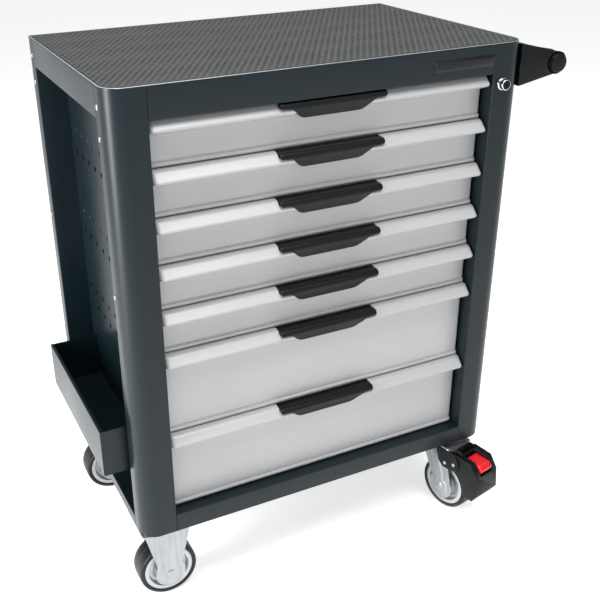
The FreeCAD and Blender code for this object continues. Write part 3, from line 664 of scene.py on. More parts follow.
@dataclass(frozen=True)
class Finish:
    """A painted, moulded or plated surface.

    Attributes:
        name: Material name.
        colour: Linear base colour.
        rough: Roughness.
        metal: Metallic share.
        coat: Clear layer weight.
        coat_rough: Roughness of the clear layer.
        grain_scale: Relief patterns per metre.
        grain_height: Relief height in mm.
        tone_scale: Tone patches per metre.
        mottle: Share of tone variation.
        wear_and_highlight: Amount of lighter edges, partly wear and partly painted edge highlight, and of
            scuffs.
        worn_and_highlight_colour: Colour of the lighter edges and the scuffs; on the edges it is partly wear
            and partly painted highlight.
        dust_height: Height in metres where floor dust ends.
        dust: Amount of dust.
        streaks: Share of rolled streaks in tone and roughness.
        streak_scale: Mapping scale of the streaks.
        specular: Strength of the plain reflection.
        pit_shade_colour: Colour painted where the attribute named pit_shade is 1, if the piece has one:
            painted shade in the mat's pits.
    """

    name: str
    colour: Colour
    rough: float
    metal: float = 0.0
    coat: float = 0.0
    coat_rough: float = 0.1
    grain_scale: float = 900.0
    grain_height: float = 0.02
    tone_scale: float = 6.0
    mottle: float = 0.08
    wear_and_highlight: float = 0.4
    worn_and_highlight_colour: Colour = (0.5, 0.5, 0.5)
    dust_height: float = 0.2
    dust: float = 0.15
    streaks: float = 0.0
    streak_scale: tuple[float, float, float] = (40.0, 40.0, 900.0)
    specular: float = 0.5
    pit_shade_colour: Colour | None = None

    def material(self, effects: Effects) -> bpy.types.Material:
        """Writes the material's nodes.

        Args:
            effects: The shared node groups.

        Returns:
            The material.
        """
        made = bpy.data.materials.new(self.name)
        made.use_nodes = True
        made.diffuse_color = rgba(self.colour)
        sheet = Sheet(made.node_tree)
        shader = made.node_tree.nodes["Principled BSDF"]
        place = sheet.add("ShaderNodeTexCoord").outputs["Object"]
        skin = sheet.add("ShaderNodeGroup", {"node_tree": effects.skin}, Position=place)
        skin.inputs["Grain scale"].default_value = self.grain_scale
        skin.inputs["Tone scale"].default_value = self.tone_scale
        wear_and_highlight = sheet.add("ShaderNodeGroup", {"node_tree": effects.wear_and_highlight}, Position=place)
        wear_and_highlight.inputs["Amount"].default_value = self.wear_and_highlight
        dust = sheet.add("ShaderNodeGroup", {"node_tree": effects.dust}, Position=place)
        dust.inputs["Height"].default_value = self.dust_height
        dust.inputs["Amount"].default_value = self.dust
        tone = sheet.maths("MULTIPLY_ADD", skin.outputs["Tone"], 2 * self.mottle)
        tone.node.inputs[2].default_value = 0.5
        base = sheet.mix(tone, rgba(self.colour, 1 - self.mottle), rgba(self.colour, 1 + self.mottle))
        rough = sheet.ramp(skin.outputs["Drift"], 0.3, 0.7, self.rough - 0.03, self.rough + 0.05)
        if self.streaks:
            stretch = sheet.add("ShaderNodeMapping", None, Vector=place)
            stretch.inputs["Scale"].default_value = self.streak_scale
            lines = sheet.add("ShaderNodeGroup", {"node_tree": effects.lines}, Stretched=stretch.outputs[0])
            lift = sheet.ramp(lines.outputs["Streak"], 0.3, 0.7, 0.0, self.streaks)
            base = sheet.mix(lift, base, rgba(self.colour, STREAK_GAIN))
            cloud = sheet.maths("MULTIPLY", lines.outputs["Cloud"], CLOUD_SHARE * self.streaks)
            rough = sheet.maths("ADD", rough, cloud)
        # Painted shade: the pits are darkened towards near black by this attribute, in place of the shade
        # that falls in them.
        if self.pit_shade_colour:
            pit_shade = sheet.add("ShaderNodeAttribute", {"attribute_name": "pit_shade"}).outputs["Fac"]
            base = sheet.mix(pit_shade, base, rgba(self.pit_shade_colour))
        # Lighter bevelled edges: partly wear, partly a painted edge highlight.
        base = sheet.mix(wear_and_highlight.outputs["Edges"], base, rgba(self.worn_and_highlight_colour))
        scuffs = sheet.maths("MULTIPLY", wear_and_highlight.outputs["Scuffs"], SCUFF_SHARE)
        base = sheet.mix(scuffs, base, rgba(self.worn_and_highlight_colour))
        base = sheet.mix(dust.outputs["Mask"], base, rgba(DUST_COLOUR))
        dulled = sheet.maths("MULTIPLY", dust.outputs["Mask"], DUST_ROUGHNESS)
        rough = sheet.maths("ADD", rough, dulled, clamp=True)
        bump = sheet.add("ShaderNodeBump", None, Height=skin.outputs["Relief"])
        bump.inputs["Strength"].default_value = BUMP_STRENGTH
        bump.inputs["Distance"].default_value = self.grain_height * MM
        sheet.tree.links.new(base, shader.inputs["Base Color"])
        sheet.tree.links.new(rough, shader.inputs["Roughness"])
        sheet.tree.links.new(bump.outputs[0], shader.inputs["Normal"])
        shader.inputs["Metallic"].default_value = self.metal
        shader.inputs["Coat Weight"].default_value = self.coat
        shader.inputs["Coat Roughness"].default_value = self.coat_rough
        shader.inputs["Specular IOR Level"].default_value = self.specular
        return made


FINISHES: dict[Slot, Finish] = {
    Slot.FRAME: Finish(
        "slate_powder_coat", (0.0042, 0.0098, 0.0124), 0.30, grain_scale=650.0,
        grain_height=0.045, mottle=0.12, wear_and_highlight=0.45, worn_and_highlight_colour=(0.09, 0.115, 0.13), dust=0.05,
        specular=0.26,
    ),
    Slot.DRAWER: Finish(
        "silver_grey_paint", (0.40, 0.40, 0.405), 0.40, metal=0.10, coat=0.10, coat_rough=0.2,
        grain_scale=1400.0, grain_height=0.02, mottle=0.035, wear_and_highlight=0.3, worn_and_highlight_colour=(0.74, 0.74, 0.75),
        dust=0.03, streaks=0.07, streak_scale=(4.0, 90.0, 420.0),
    ),
    Slot.TRAY: Finish(
        "graphite_tray_paint", (0.045, 0.050, 0.056), 0.45, grain_scale=800.0, grain_height=0.03,
        wear_and_highlight=0.5, worn_and_highlight_colour=(0.30, 0.31, 0.32), dust=0.0,
    ),
    Slot.ZINC: Finish(
        "bright_zinc_plate", (0.36, 0.37, 0.39), 0.30, metal=0.95, grain_scale=500.0, grain_height=0.03,
        mottle=0.10, tone_scale=45.0, wear_and_highlight=0.5, worn_and_highlight_colour=(0.75, 0.76, 0.78), dust=0.10, streaks=0.5,
        streak_scale=(160.0, 160.0, 14.0),
    ),
    Slot.CHROME: Finish(
        "lock_chrome", (0.66, 0.66, 0.67), 0.13, metal=1.0, grain_scale=300.0, grain_height=0.008,
        mottle=0.03, wear_and_highlight=0.3, worn_and_highlight_colour=(0.9, 0.9, 0.9), dust=0.0,
    ),
    Slot.MAT: Finish(
        "studded_mat_rubber", (0.085, 0.087, 0.086), 0.6, grain_scale=1800.0, grain_height=0.05,
        mottle=0.25, tone_scale=14.0, wear_and_highlight=0.0, worn_and_highlight_colour=(0.12, 0.12, 0.12), dust=0.0,
        # The last colour is the painted shade for the mat's pits, near black.
        specular=0.12, pit_shade_colour=(0.0015, 0.0016, 0.0016),
    ),
    Slot.BLACK: Finish(
        "black_moulding", (0.0025, 0.0036, 0.0038), 0.34, grain_scale=2200.0, grain_height=0.04,
        mottle=0.15, wear_and_highlight=0.5, worn_and_highlight_colour=(0.024, 0.026, 0.028), dust=0.0, specular=0.18,
    ),
    Slot.BADGE: Finish(
        "badge_gloss", (0.003, 0.003, 0.0035), 0.10, coat=0.3, coat_rough=0.04, grain_scale=200.0,
        grain_height=0.004, mottle=0.05, wear_and_highlight=0.3, worn_and_highlight_colour=(0.05, 0.05, 0.05), dust=0.0,
        specular=0.3,
    ),
    Slot.RED: Finish(
        "red_pedal_plastic", (0.62, 0.002, 0.008), 0.28, coat=0.2, coat_rough=0.12, grain_scale=1200.0,
        grain_height=0.02, mottle=0.08, wear_and_highlight=0.5, worn_and_highlight_colour=(0.80, 0.12, 0.12), dust=0.05,
        specular=0.4,
    ),
    Slot.WHEEL: Finish(
        "wheel_centre_grey", (0.42, 0.44, 0.46), 0.30, metal=0.55, grain_scale=900.0, grain_height=0.02,
        mottle=0.10, tone_scale=30.0, wear_and_highlight=0.4, worn_and_highlight_colour=(0.66, 0.67, 0.68), dust=0.2, dust_height=0.1,
    ),
    Slot.TYRE: Finish(
        "tyre_rubber", (0.0045, 0.0048, 0.005), 0.42, grain_scale=1500.0, grain_height=0.05,
        mottle=0.25, tone_scale=25.0, wear_and_highlight=0.4, worn_and_highlight_colour=(0.03, 0.03, 0.03), dust=0.16,
        dust_height=0.03, specular=0.26,
    ),
}
# A painted highlight: a pale grey copy of the frame's slate paint for the bead along the top rim, in place
# of the light that the rim's round edge catches.
RIM_HIGHLIGHT_FINISH = Finish(
    "painted_rim_highlight", (0.30, 0.32, 0.335), 0.28, metal=0.3, grain_scale=650.0, grain_height=0.03,
    mottle=0.25, tone_scale=22.0, wear_and_highlight=0.3, worn_and_highlight_colour=(0.5, 0.52, 0.54), dust=0.0,
)


class Wardrobe:
    """Every material, by slot."""

    def __init__(self) -> None:
        """Builds the shared effects, then each finish's material."""
        effects = Effects()
        self.materials = {slot: finish.material(effects) for slot, finish in FINISHES.items()}
        # The rim's painted highlight.
        self.rim = RIM_HIGHLIGHT_FINISH.material(effects)

    def __getitem__(self, slot: Slot) -> bpy.types.Material:
        """The material of a slot."""
        return self.materials[slot]


def solids_of(node: str) -> list[tuple[Array, Array]]:
    """The box of each separate solid of a CAD node.

    The lowest point number is spread over each face until nothing changes, which labels every solid.

    Args:
        node: CAD node.

    Returns:
        Lowest and highest corner of each solid, in mm.
    """
    mesh = frame["nodes"][node].data
    mesh.calc_loop_triangles()
    points = np.zeros(len(mesh.vertices) * 3)
    mesh.vertices.foreach_get("co", points)
    corners = np.zeros(len(mesh.loop_triangles) * 3, np.int64)
    mesh.loop_triangles.foreach_get("vertices", corners)
    places, number = np.unique(np.round(points.reshape(-1, 3), 6), axis=0, return_inverse=True)
    faces = number.reshape(-1)[corners].reshape(-1, 3)
    label = np.arange(len(places))
    while True:
        lowest = label[faces].min(1)
        spread = label.copy()
        np.minimum.at(spread, faces, lowest[:, None])
        if (spread == label).all():
            break
        label = spread
    groups = [places[label == value] / MM for value in np.unique(label)]
    return [(group.min(0), group.max(0)) for group in groups]


# ---------------------------------------------------------------- cabinet
@dataclass
class Cabinet:
    """The folded steel carcass: posts, rails, top frame and base.

    Attributes:
        sheet: Steel thickness.
        corner: Radius of the two front corners.
        bend: Outer radius of a sharp fold.
        front_return: Depth of the fold inside a front post.
        rail_return: Depth of the shelf under the front top rail.
        rim_width: Width of the rim round the mat.
        rim_round: Radius of the rim's edges.
        bead_steps: Steps round the bead on the rim that carries the painted highlight.
        bead_width: Half width of the bead as a share of the rim's radius.
        bead_rise: How far the bead stands above the rim.
        sill_height: Height of the side sills.
        floor_edge: Width of the floor plate's rounded edge.
        web_gap: Distance from the side panel to a post's web.
        body: CAD body of the carcass.
    """

    wardrobe: Wardrobe
    sheet: float = 1.5
    corner: float = 30.0
    bend: float = 1.6
    front_return: float = 30.0
    rail_return: float = 20.0
    rim_width: float = 4.0
    rim_round: float = 1.4
    bead_steps: int = 12
    bead_width: float = 0.9
    bead_rise: float = 0.25
    sill_height: float = 20.0
    floor_edge: float = 1.2
    web_gap: float = 1.2
    body: str = "cabinet"

    def __post_init__(self) -> None:
        """Reads the carcass's places from the model."""
        self.base_low, self.base_high = box_mm("base_pan")
        self.top_low, self.top_high = box_mm("top_tray")
        self.post_low, self.post_high = box_mm("front_right_post")
        self.rear_low, self.rear_high = box_mm("rear_posts")
        self.panel_low, self.panel_high = box_mm("side_panels")
        self.middle = (self.base_low[0] + self.base_high[0]) / 2
        self.half = (self.base_high[0] - self.base_low[0]) / 2
        self.opening = self.post_low[0] - self.middle
        self.panel_x = self.panel_high[0] - self.middle

    def place(self, surface: Surface) -> Surface:
        """The surface moved from the cabinet's centre line to its place."""
        return surface.moved((self.middle, 0, 0))

    def pair(self, surface: Surface) -> list[Surface]:
        """The surface on the right side and its mirror image on the left, in place."""
        return [self.place(surface), self.place(surface.mirrored(0))]

    def rings(self, section: Iterable[Sequence[float]], front: float, back: float) -> Array:
        """The plan outline carried round at each point of a section.

        Args:
            section: Pairs of an inset from the outline and a height.
            front: Y of the outline's front.
            back: Y of its back.

        Returns:
            Points, shape (points of the section, points of the outline, 3).
        """
        rows = []
        for inset, height in section:
            outline = round_front(self.half - inset, front + inset, back - inset, self.corner - inset)
            rows.append(np.column_stack([outline, np.full(len(outline), height)]))
        return np.array(rows)

    def front_post(self) -> Surface:
        """A folded channel: return, front face, round corner, side face and back web, run upright."""
        front, back = self.post_low[1], self.post_high[1]
        web = self.panel_x - self.web_gap
        line = filleted(
            [
                (self.opening, front + self.front_return),
                (self.opening, front),
                (self.half, front),
                (self.half, back),
                (web, back),
            ],
            [self.bend, self.corner, self.bend],
            count=17,
        )
        return Surface.prism(thickened(line, self.sheet), Axis.Z, self.post_low[2], self.post_high[2])

    def rear_post(self) -> Surface:
        """An angle: front web and side face, run upright."""
        front, back = self.rear_low[1], self.rear_high[1]
        line = filleted(
            [(self.panel_x - self.web_gap, front), (self.half, front), (self.half, back)], [self.bend]
        )
        return Surface.prism(thickened(line, self.sheet), Axis.Z, self.post_low[2], self.post_high[2])

    def top_frame(self) -> list[Surface]:
        """The top sheet with its round-edged rim, and the rails folded down at the front and sides."""
        front, back = self.top_low[1], self.top_high[1]
        sheet_z, low = self.post_high[2], self.top_low[2]
        edge = filleted(
            [(0, sheet_z), (0, self.top_high[2]), (self.rim_width, self.top_high[2]),
             (self.rim_width, sheet_z + self.sheet)],
            [self.rim_round, self.rim_round],
        )
        pan = self.place(Surface.tube(self.rings(edge, front, back)))
        rail = filleted([(front, sheet_z), (front, low), (front + self.rail_return, low)], [self.bend])
        front_rail = Surface.prism(thickened(rail, self.sheet), Axis.X, -self.opening, self.opening)
        side = filleted([(self.panel_x, low), (self.half, low), (self.half, sheet_z)], [self.bend])
        side_rail = Surface.prism(
            thickened(side, self.sheet), Axis.Y, self.post_high[1], self.rear_low[1]
        )
        return [pan, self.place(front_rail), *self.pair(side_rail)]

    def rim_highlight_bead(self) -> Surface:
        """A painted highlight on the rim's round edge: a small round section in a pale paint, carried round
        the rim's outline.

        Each point of the section is an inset from the outline and a height, both a cosine and a sine of its
        angle times the bead's radius.
        """
        radius = self.rim_round
        angle = np.radians(np.linspace(0, 360, self.bead_steps, endpoint=False))
        inset = radius * (1.0 - self.bead_width * np.cos(angle))
        height = self.top_high[2] - radius + self.bead_rise + radius * np.sin(angle)
        rows = self.rings(zip(inset, height), self.top_low[1], self.top_high[1])
        return self.place(Surface.grid(rows, wrap_rows=True, wrap_columns=True))

    def base_frame(self) -> list[Surface]:
        """The floor plate, the front rail with its shelf, and the side sills."""
        front, back, low = self.base_low[1], self.base_high[1], self.base_low[2]
        shelf_z = self.base_high[2]
        shelf_back = box_mm("drawer_7_front")[1][1]
        sill_z = low + self.sill_height
        inner, high = self.floor_edge, low + self.sheet
        edge = filleted([(inner, low), (0, low), (0, high), (inner, high)], [inner / 2, inner / 2], 4)
        floor = self.place(Surface.tube(self.rings(edge, front, back)))
        line = filleted(
            [(shelf_back, shelf_z), (front, shelf_z), (front, low + self.sheet)], [self.bend]
        )
        rail = Surface.prism(thickened(line, self.sheet), Axis.X, -self.opening, self.opening)
        fold = filleted(
            [(self.half, low + self.sheet), (self.half, sill_z), (self.panel_x, sill_z)], [self.bend]
        )
        sill = Surface.prism(thickened(fold, self.sheet), Axis.Y, self.post_high[1], self.rear_low[1])
        return [floor, self.place(rail), *self.pair(sill)]

    def build(self) -> None:
        """Makes the carcass's pieces and dresses the nodes whose shape stays."""
        paint = self.wardrobe[Slot.FRAME]
        right, left = self.pair(self.front_post())
        forge("corner_post_right", right, self.body, paint, ["front_right_post"])
        forge("corner_post_left", left, self.body, paint, ["front_left_post"])
        rear = Surface.join(self.pair(self.rear_post()))
        forge("rear_corner_posts", rear, self.body, paint, ["rear_posts"])
        forge("top_frame", Surface.join(self.top_frame()), self.body, paint, ["top_tray"])
        # Painted highlight: a pale bead along the rim's edge, in place of the light that the round edge
        # catches.
        forge("rim_painted_highlight", self.rim_highlight_bead(), self.body, self.wardrobe.rim)
        forge("base_frame", Surface.join(self.base_frame()), self.body, paint, ["base_pan"])
        for node in ("side_panels", "back_panel"):
            dress_node(node, paint)
        for node in ("cabinet_slide_rails", "lock_bar"):
            dress_node(node, self.wardrobe[Slot.ZINC])


@dataclass
class Mat:
    """The studded rubber mat in the top.

    Attributes:
        pitch: Distance between pits along a row.
        row: Distance between rows; every other row is shifted by half a pitch.
        depth: Depth of a pit.
        columns: Steps across the mat.
        rows: Steps from front to back.
        corner: Radius of the two front corners.
        edge: Where the pits begin and where they are full, measured in from the edge.
        curve: Range of the wave sum over which the surface drops.
        shade: Range of the drop, as a share of the depth, over which the pits turn dark with painted shade.
    """

    wardrobe: Wardrobe
    pitch: float = 11.0
    row: float = 9.0
    depth: float = 1.5
    columns: int = 420
    rows: int = 230
    corner: float = 25.6
    edge: tuple[float, float] = (1.0, 3.0)
    curve: tuple[float, float] = (-0.5, 1.1)
    shade: tuple[float, float] = (0.15, 0.75)

    def relief(self, x: Array, y: Array) -> Array:
        """Height below the ridges, from a sum of three cosine waves that cross at about 60 degrees.

        Three waves make a staggered lattice of round pits. Where their sum is high the surface drops by
        depth, through an S-curve that leaves flat-topped ridges between the pits.
        """
        across = 2 * np.pi * x / self.pitch
        along = np.pi * y / self.row
        waves = 2 * np.cos(across) * np.cos(along) + np.cos(2 * along)
        return -self.depth * smooth(waves, *self.curve)

    def build(self) -> None:
        """Makes the mat's top as a height field on a grid whose rows narrow into the round corners."""
        low, high = box_mm("top_mat")
        middle, half = (low[0] + high[0]) / 2, (high[0] - low[0]) / 2
        y = np.linspace(low[1], high[1], self.rows)
        into_corner = np.clip(self.corner - (y - low[1]), 0, self.corner)
        width = half - self.corner + np.sqrt(self.corner**2 - into_corner**2)
        x = np.linspace(-1, 1, self.columns)[None] * width[:, None]
        depth = np.broadcast_to(y[:, None], x.shape)
        margin = np.minimum(width[:, None] - np.abs(x), np.minimum(depth - low[1], high[1] - depth))
        z = high[2] + self.relief(x, depth) * smooth(margin, *self.edge)
        top = np.stack([x + middle, depth, z], -1)
        rim = np.concatenate([top[0], top[1:, -1], top[-1, -2::-1], top[-2:0:-1, 0]])
        skirt = np.stack([rim, rim * (1, 1, 0) + (0, 0, low[2])])
        sides = Surface.grid(skirt, wrap_columns=True)
        sides.faces.append(list(range(len(rim), 2 * len(rim))))
        surface = Surface.join([Surface.grid(top), sides])
        mat = forge("worktop_mat", surface, "cabinet", self.wardrobe[Slot.MAT], ["top_mat"])
        # Painted shade in the pits: the deeper a point lies below the ridges, the more of the near-black pit
        # colour it gets.
        places = np.zeros(len(mat.data.vertices) * 3)
        mat.data.vertices.foreach_get("co", places)
        drop = (high[2] - places.reshape(-1, 3)[:, 2] / MM) / self.depth
        inside = places.reshape(-1, 3)[:, 2] / MM > low[2] + 0.01
        pit_shade = mat.data.attributes.new("pit_shade", "FLOAT", "POINT")
        pit_shade.data.foreach_set("value", (smooth(drop, *self.shade) * inside).astype(np.float32))


# ---------------------------------------------------------------- drawers
# The lip from its low nose up its slope to its top: depth behind the nose and drop below the top.
LIP_LINE = ((2.0, 17.0), (0.0, 14.4), (1.0, 12.6), (11.5, 1.4), (18.0, 0.0))
LIP_RADII = (1.6, 2.0, 9.0)
LIP_SPACING = 1.5
# The folds from the hem's lower edge up to the underside of the lip.
FOLD_RADII = (2.2, 1.6, 0.7, 1.0, 1.2)
# The crease above the hem: depth behind the panel, rise to its floor, rise to the panel.
CREASE = (1.2, 0.9, 3.4)
PUSH_SEAM = 0.01
GRIP_SPACING = 1.2
# The grip's face in side view: depth of the nose, drop of its lower edge, and depth at the bottom.
GRIP_NOSE, GRIP_NOSE_DROP, GRIP_FOOT = -0.7, 9.5, 8.6
GRIP_RADII = (6.8, 7.0)


@dataclass
class Drawer:
    """One drawer: folded front with a pull lip, moulded grip, tray and slide rails.

    Attributes:
        number: 1 at the top.
        lip: Height of the lip, from its top to the crease under it.
        panel: Depth of the panel behind the nose.
        hem: Height of the folded hem.
        hem_out: How far the hem stands out from the panel.
        lip_corner: Radius of the lip's ends in plan.
        panel_corner: Radius of the panel's ends in plan.
        grip_half: Half width of the grip at its top.
        grip_step_half: Half width at the ledge.
        grip_low_half: Half width at the lower edge.
        grip_step: Drop of the ledge.
        grip_drop: Drop of the lower edge.
        clearance: Gap between the grip and its notch.
    """

    wardrobe: Wardrobe
    number: int
    lip: float = 26.0
    panel: float = 24.5
    hem: float = 5.5
    hem_out: float = 3.0
    lip_corner: float = 8.0
    panel_corner: float = 6.0
    grip_half: float = 89.0
    grip_step_half: float = 73.0
    grip_low_half: float = 44.0
    grip_step: float = 9.0
    grip_drop: float = 27.0
    clearance: float = 0.4

    def __post_init__(self) -> None:
        """Reads the front's place from the model."""
        self.low, self.high = box_mm(f"drawer_{self.number}_front")
        self.middle = (self.low[0] + self.high[0]) / 2
        self.half = (self.high[0] - self.low[0]) / 2
        self.height = self.high[2] - self.low[2]
        self.depth = self.high[1] - self.low[1]
        self.body = f"drawer_{self.number}"

    def section(self) -> Array:
        """Depth behind the nose and height, from the bottom back edge round the front to the top back edge.

        Straight runs with round folds: hem, crease, panel, crease, the underside of the lip, its round nose,
        the slope up from it and the flat top.
        """
        top = self.height
        hem_face = self.panel - self.hem_out
        lip = [(depth, top - drop) for depth, drop in LIP_LINE]
        lower = filleted(
            [
                (self.depth, 0),
                (hem_face, 0),
                (hem_face, self.hem),
                (self.panel + CREASE[0], self.hem + CREASE[1]),
                (self.panel, self.hem + CREASE[2]),
                (self.panel, top - self.lip),
                lip[0],
            ],
            FOLD_RADII,
            count=5,
        )
        under = np.linspace(lower[-2], lower[-1], 8)[1:]
        rounded = spaced(filleted(lip, LIP_RADII, count=8), LIP_SPACING)[1:]
        seam = [(self.panel - PUSH_SEAM, top), (self.panel + PUSH_SEAM, top)]
        flat = np.array([*seam, (self.depth, top)])
        return np.concatenate([lower[:-1], under, rounded, flat])

    def grip_edge(self) -> Array:
        """The grip's right edge, x and height above its top: upright, round corner, ledge, then an S-curve.

        The S-curve is a cubic between the ledge and the lower edge with level ends.
        """
        corner = arc((self.grip_half - 4, -self.grip_step + 4), 4.0, 0, -84, 7)
        t = np.linspace(0, 1, 14)[:, None]
        start, end = np.array((self.grip_step_half, -self.grip_step - 0.5)), np.array(
            (self.grip_low_half, -self.grip_drop)
        )
        pull, push = start - (9.0, 0.3), end + (15.0, 0.0)
        curve = (1 - t) ** 3 * start + 3 * t * (1 - t) ** 2 * pull + 3 * t * t * (1 - t) * push + t**3 * end
        return np.concatenate([[(self.grip_half, 0)], corner, curve])

    def grip_width(self, drop: Array) -> Array:
        """Half width of the grip at a drop below the top, read off its edge."""
        edge = self.grip_edge()
        return np.interp(-np.asarray(drop), -edge[:, 1], edge[:, 0])

    def front(self) -> Surface:
        """The front: its section carried along its plan outline, with the notch for the grip pushed in.

        Each row of the grid is one point of the section. Its columns run from the back left corner round the
        left end, along the face, and round the right end. Between the grip's edges the lip's rows are pushed
        back to the panel, so the step between two columns makes the notch's sides.
        """
        section = self.section()
        depth, height = section[:, 0], section[:, 1]
        drop = height - self.height
        blend = smooth(-drop, self.lip - 1, self.lip + 1)
        radius = self.lip_corner + (self.panel_corner - self.lip_corner) * blend
        edge = self.grip_width(np.maximum(drop, -self.grip_drop)) + self.clearance
        in_lip = drop > -self.lip
        pushed = np.where(in_lip, np.maximum(depth, self.panel), depth)
        angle = np.radians(np.linspace(180, 270, 9))
        x_end = -self.half + radius[:, None] * (1 + np.cos(angle))
        y_end = depth[:, None] + radius[:, None] * (1 + np.sin(angle))
        share = np.linspace(0, 1, 8)[1:]
        x_run = x_end[:, -1:] + (-edge[:, None] - x_end[:, -1:]) * share
        y_run = np.broadcast_to(depth[:, None], x_run.shape)
        x_notch = edge[:, None] * np.linspace(-1, 1, 13)
        y_notch = np.broadcast_to(pushed[:, None], x_notch.shape)
        back = np.full((len(depth), 1), self.depth)
        side = np.full((len(depth), 1), -self.half)
        x = np.concatenate([side, x_end, x_run], 1)
        y = np.concatenate([back, y_end, y_run], 1)
        x = np.concatenate([x, x_notch, -x[:, ::-1]], 1)
        y = np.minimum(np.concatenate([y, y_notch, y[:, ::-1]], 1), self.depth)
        z = np.broadcast_to(height[:, None], x.shape)
        points = np.stack([x + self.middle, y + self.low[1], z + self.low[2]], -1)
        surface = Surface.grid(points)
        rows, columns = x.shape
        number = np.arange(rows * columns).reshape(rows, columns)
        rim = np.concatenate([number[0, ::-1], number[1:, 0], number[-1, 1:], number[-2:0:-1, -1]])
        surface.faces.append(rim.tolist())
        return surface

    def grip(self) -> Surface:
        """The grip's outer face: its side section carried across, each row as wide as the edge is there."""
        nose = [(GRIP_NOSE, 0), (GRIP_NOSE, -GRIP_NOSE_DROP)]
        ends = (self.panel - 0.6, 0), (GRIP_FOOT, -self.grip_drop)
        line = filleted([ends[0], *nose, ends[1]], GRIP_RADII, count=10)
        line = spaced(line, GRIP_SPACING)
        width = self.grip_width(line[:, 1])
        across = np.linspace(1, -1, 37)
        x = width[:, None] * across + self.middle
        y = np.broadcast_to(line[:, :1] + self.low[1], x.shape)
        z = np.broadcast_to(line[:, 1:] + self.high[2], x.shape)
        return Surface.grid(np.stack([x, y, z], -1))

    def build(self) -> None:
        """Makes the drawer's pieces."""
        name = self.body
        forge(
            f"{name}_pull_front", self.front(), name, self.wardrobe[Slot.DRAWER],
            [f"{name}_front"],
        )
        forge(
            f"{name}_finger_grip", self.grip(), name, self.wardrobe[Slot.BLACK],
            [f"{name}_grip"], Softening(0.7, 3, 40, 2.2), outward=False,
        )
        softened(
            f"{name}_box", f"{name}_tray", name, self.wardrobe[Slot.TRAY], Softening(0.3, 2)
        )
        dress_node(f"{name}_rails", self.wardrobe[Slot.ZINC])


# ---------------------------------------------------------------- lock, badge, bin and push bar
@dataclass
class LockSet:
    """The lock barrel, its turning core, and the blank badge plate on the top rail.

    Attributes:
        barrel: Radius of the barrel.
        collar: Radius of the collar against the rail.
        bore: Radius of the hole that the core turns in.
        edge: Radius of the rounded edges.
        front: Depth of the collar's front behind the barrel's face.
        back: Depth of its back.
        steps: Steps round the barrel.
    """

    wardrobe: Wardrobe
    barrel: float = 8.6
    collar: float = 10.0
    bore: float = 6.1
    edge: float = 1.2
    front: float = 7.6
    back: float = 11.0
    steps: int = 56

    def build(self) -> None:
        """Makes the barrel as a turned shape, and softens the core and the badge."""
        low, high = box_mm("lock_cylinder")
        centre = (low + high) / 2
        reach = high[1] - low[1]
        barrel, edge, back = self.barrel, self.edge, self.back
        loop = np.concatenate(
            [
                [(self.bore, reach), (self.bore, edge)],
                [(self.bore + 0.8, 0.5), (barrel - 1.4, 0.0)],
                arc((barrel - edge, edge), edge, 270, 360, 5),
                [(barrel, self.front), (barrel + 0.7, self.front + 0.6)],
                arc((self.collar - edge, back - 1.3), edge, 270, 360, 5),
                [(self.collar, back), (barrel, back), (barrel, reach)],
            ]
        )
        shell = Surface.lathe(loop, Axis.Y, self.steps, closed=True)
        shell = shell.moved((centre[0], low[1], centre[2]))
        chrome = self.wardrobe[Slot.CHROME]
        forge("lock_barrel", shell, "cabinet", chrome, ["lock_cylinder"])
        softened(
            "lock_plug", "lock_core_plug", "lock_core", self.wardrobe[Slot.BLACK],
            Softening(0.25, 2),
        )
        softened(
            "badge_plate", "blank_badge", "cabinet", self.wardrobe[Slot.BADGE],
            Softening(0.5, 3),
        )


@dataclass
class SideBin:
    """The open bin on the left side panel.

    Attributes:
        sheet: Steel thickness.
        hem: Width of the turned-in hem along the outer edge.
        bend: Outer radius of the folds.
        hem_bend: Outer radius of the hem's fold.
        inner_bend: Radius at the top of an end wall.
        hooks: Depth of the hooks behind the trough.
        end_drop: How far the end walls stay below the rim.
        end_inset: How far they stay inside the trough's ends.
    """

    wardrobe: Wardrobe
    sheet: float = 1.2
    hem: float = 5.0
    bend: float = 2.0
    hem_bend: float = 1.6
    inner_bend: float = 0.8
    hooks: float = 8.0
    end_drop: float = 0.4
    end_inset: float = 0.3

    def build(self) -> None:
        """Makes the bin from one folded trough and two end walls."""
        low, high = box_mm("side_bin")
        back = high[0] - self.hooks + self.sheet
        line = filleted(
            [
                (low[0] + self.hem, high[2]),
                (low[0], high[2]),
                (low[0], low[2]),
                (back, low[2]),
                (back, high[2]),
            ],
            [self.hem_bend, self.bend, self.bend],
        )
        trough = Surface.prism(thickened(line, self.sheet), Axis.Y, low[1], high[1])
        inner = filleted(
            [
                (back - self.sheet, high[2] - self.end_drop),
                (low[0] + self.sheet, high[2] - self.end_drop),
                (low[0] + self.sheet, low[2] + self.sheet),
                (back - self.sheet, low[2] + self.sheet),
            ],
            [self.inner_bend, self.bend - self.inner_bend],
        )
        inset = self.end_inset
        ends = [
            Surface.prism(inner, Axis.Y, low[1] + inset, low[1] + self.sheet + inset),
            Surface.prism(inner, Axis.Y, high[1] - self.sheet - inset, high[1] - inset),
        ]
        forge(
            "bin_shell", Surface.join([trough, *ends]), "cabinet",
            self.wardrobe[Slot.FRAME], ["side_bin"],
        )


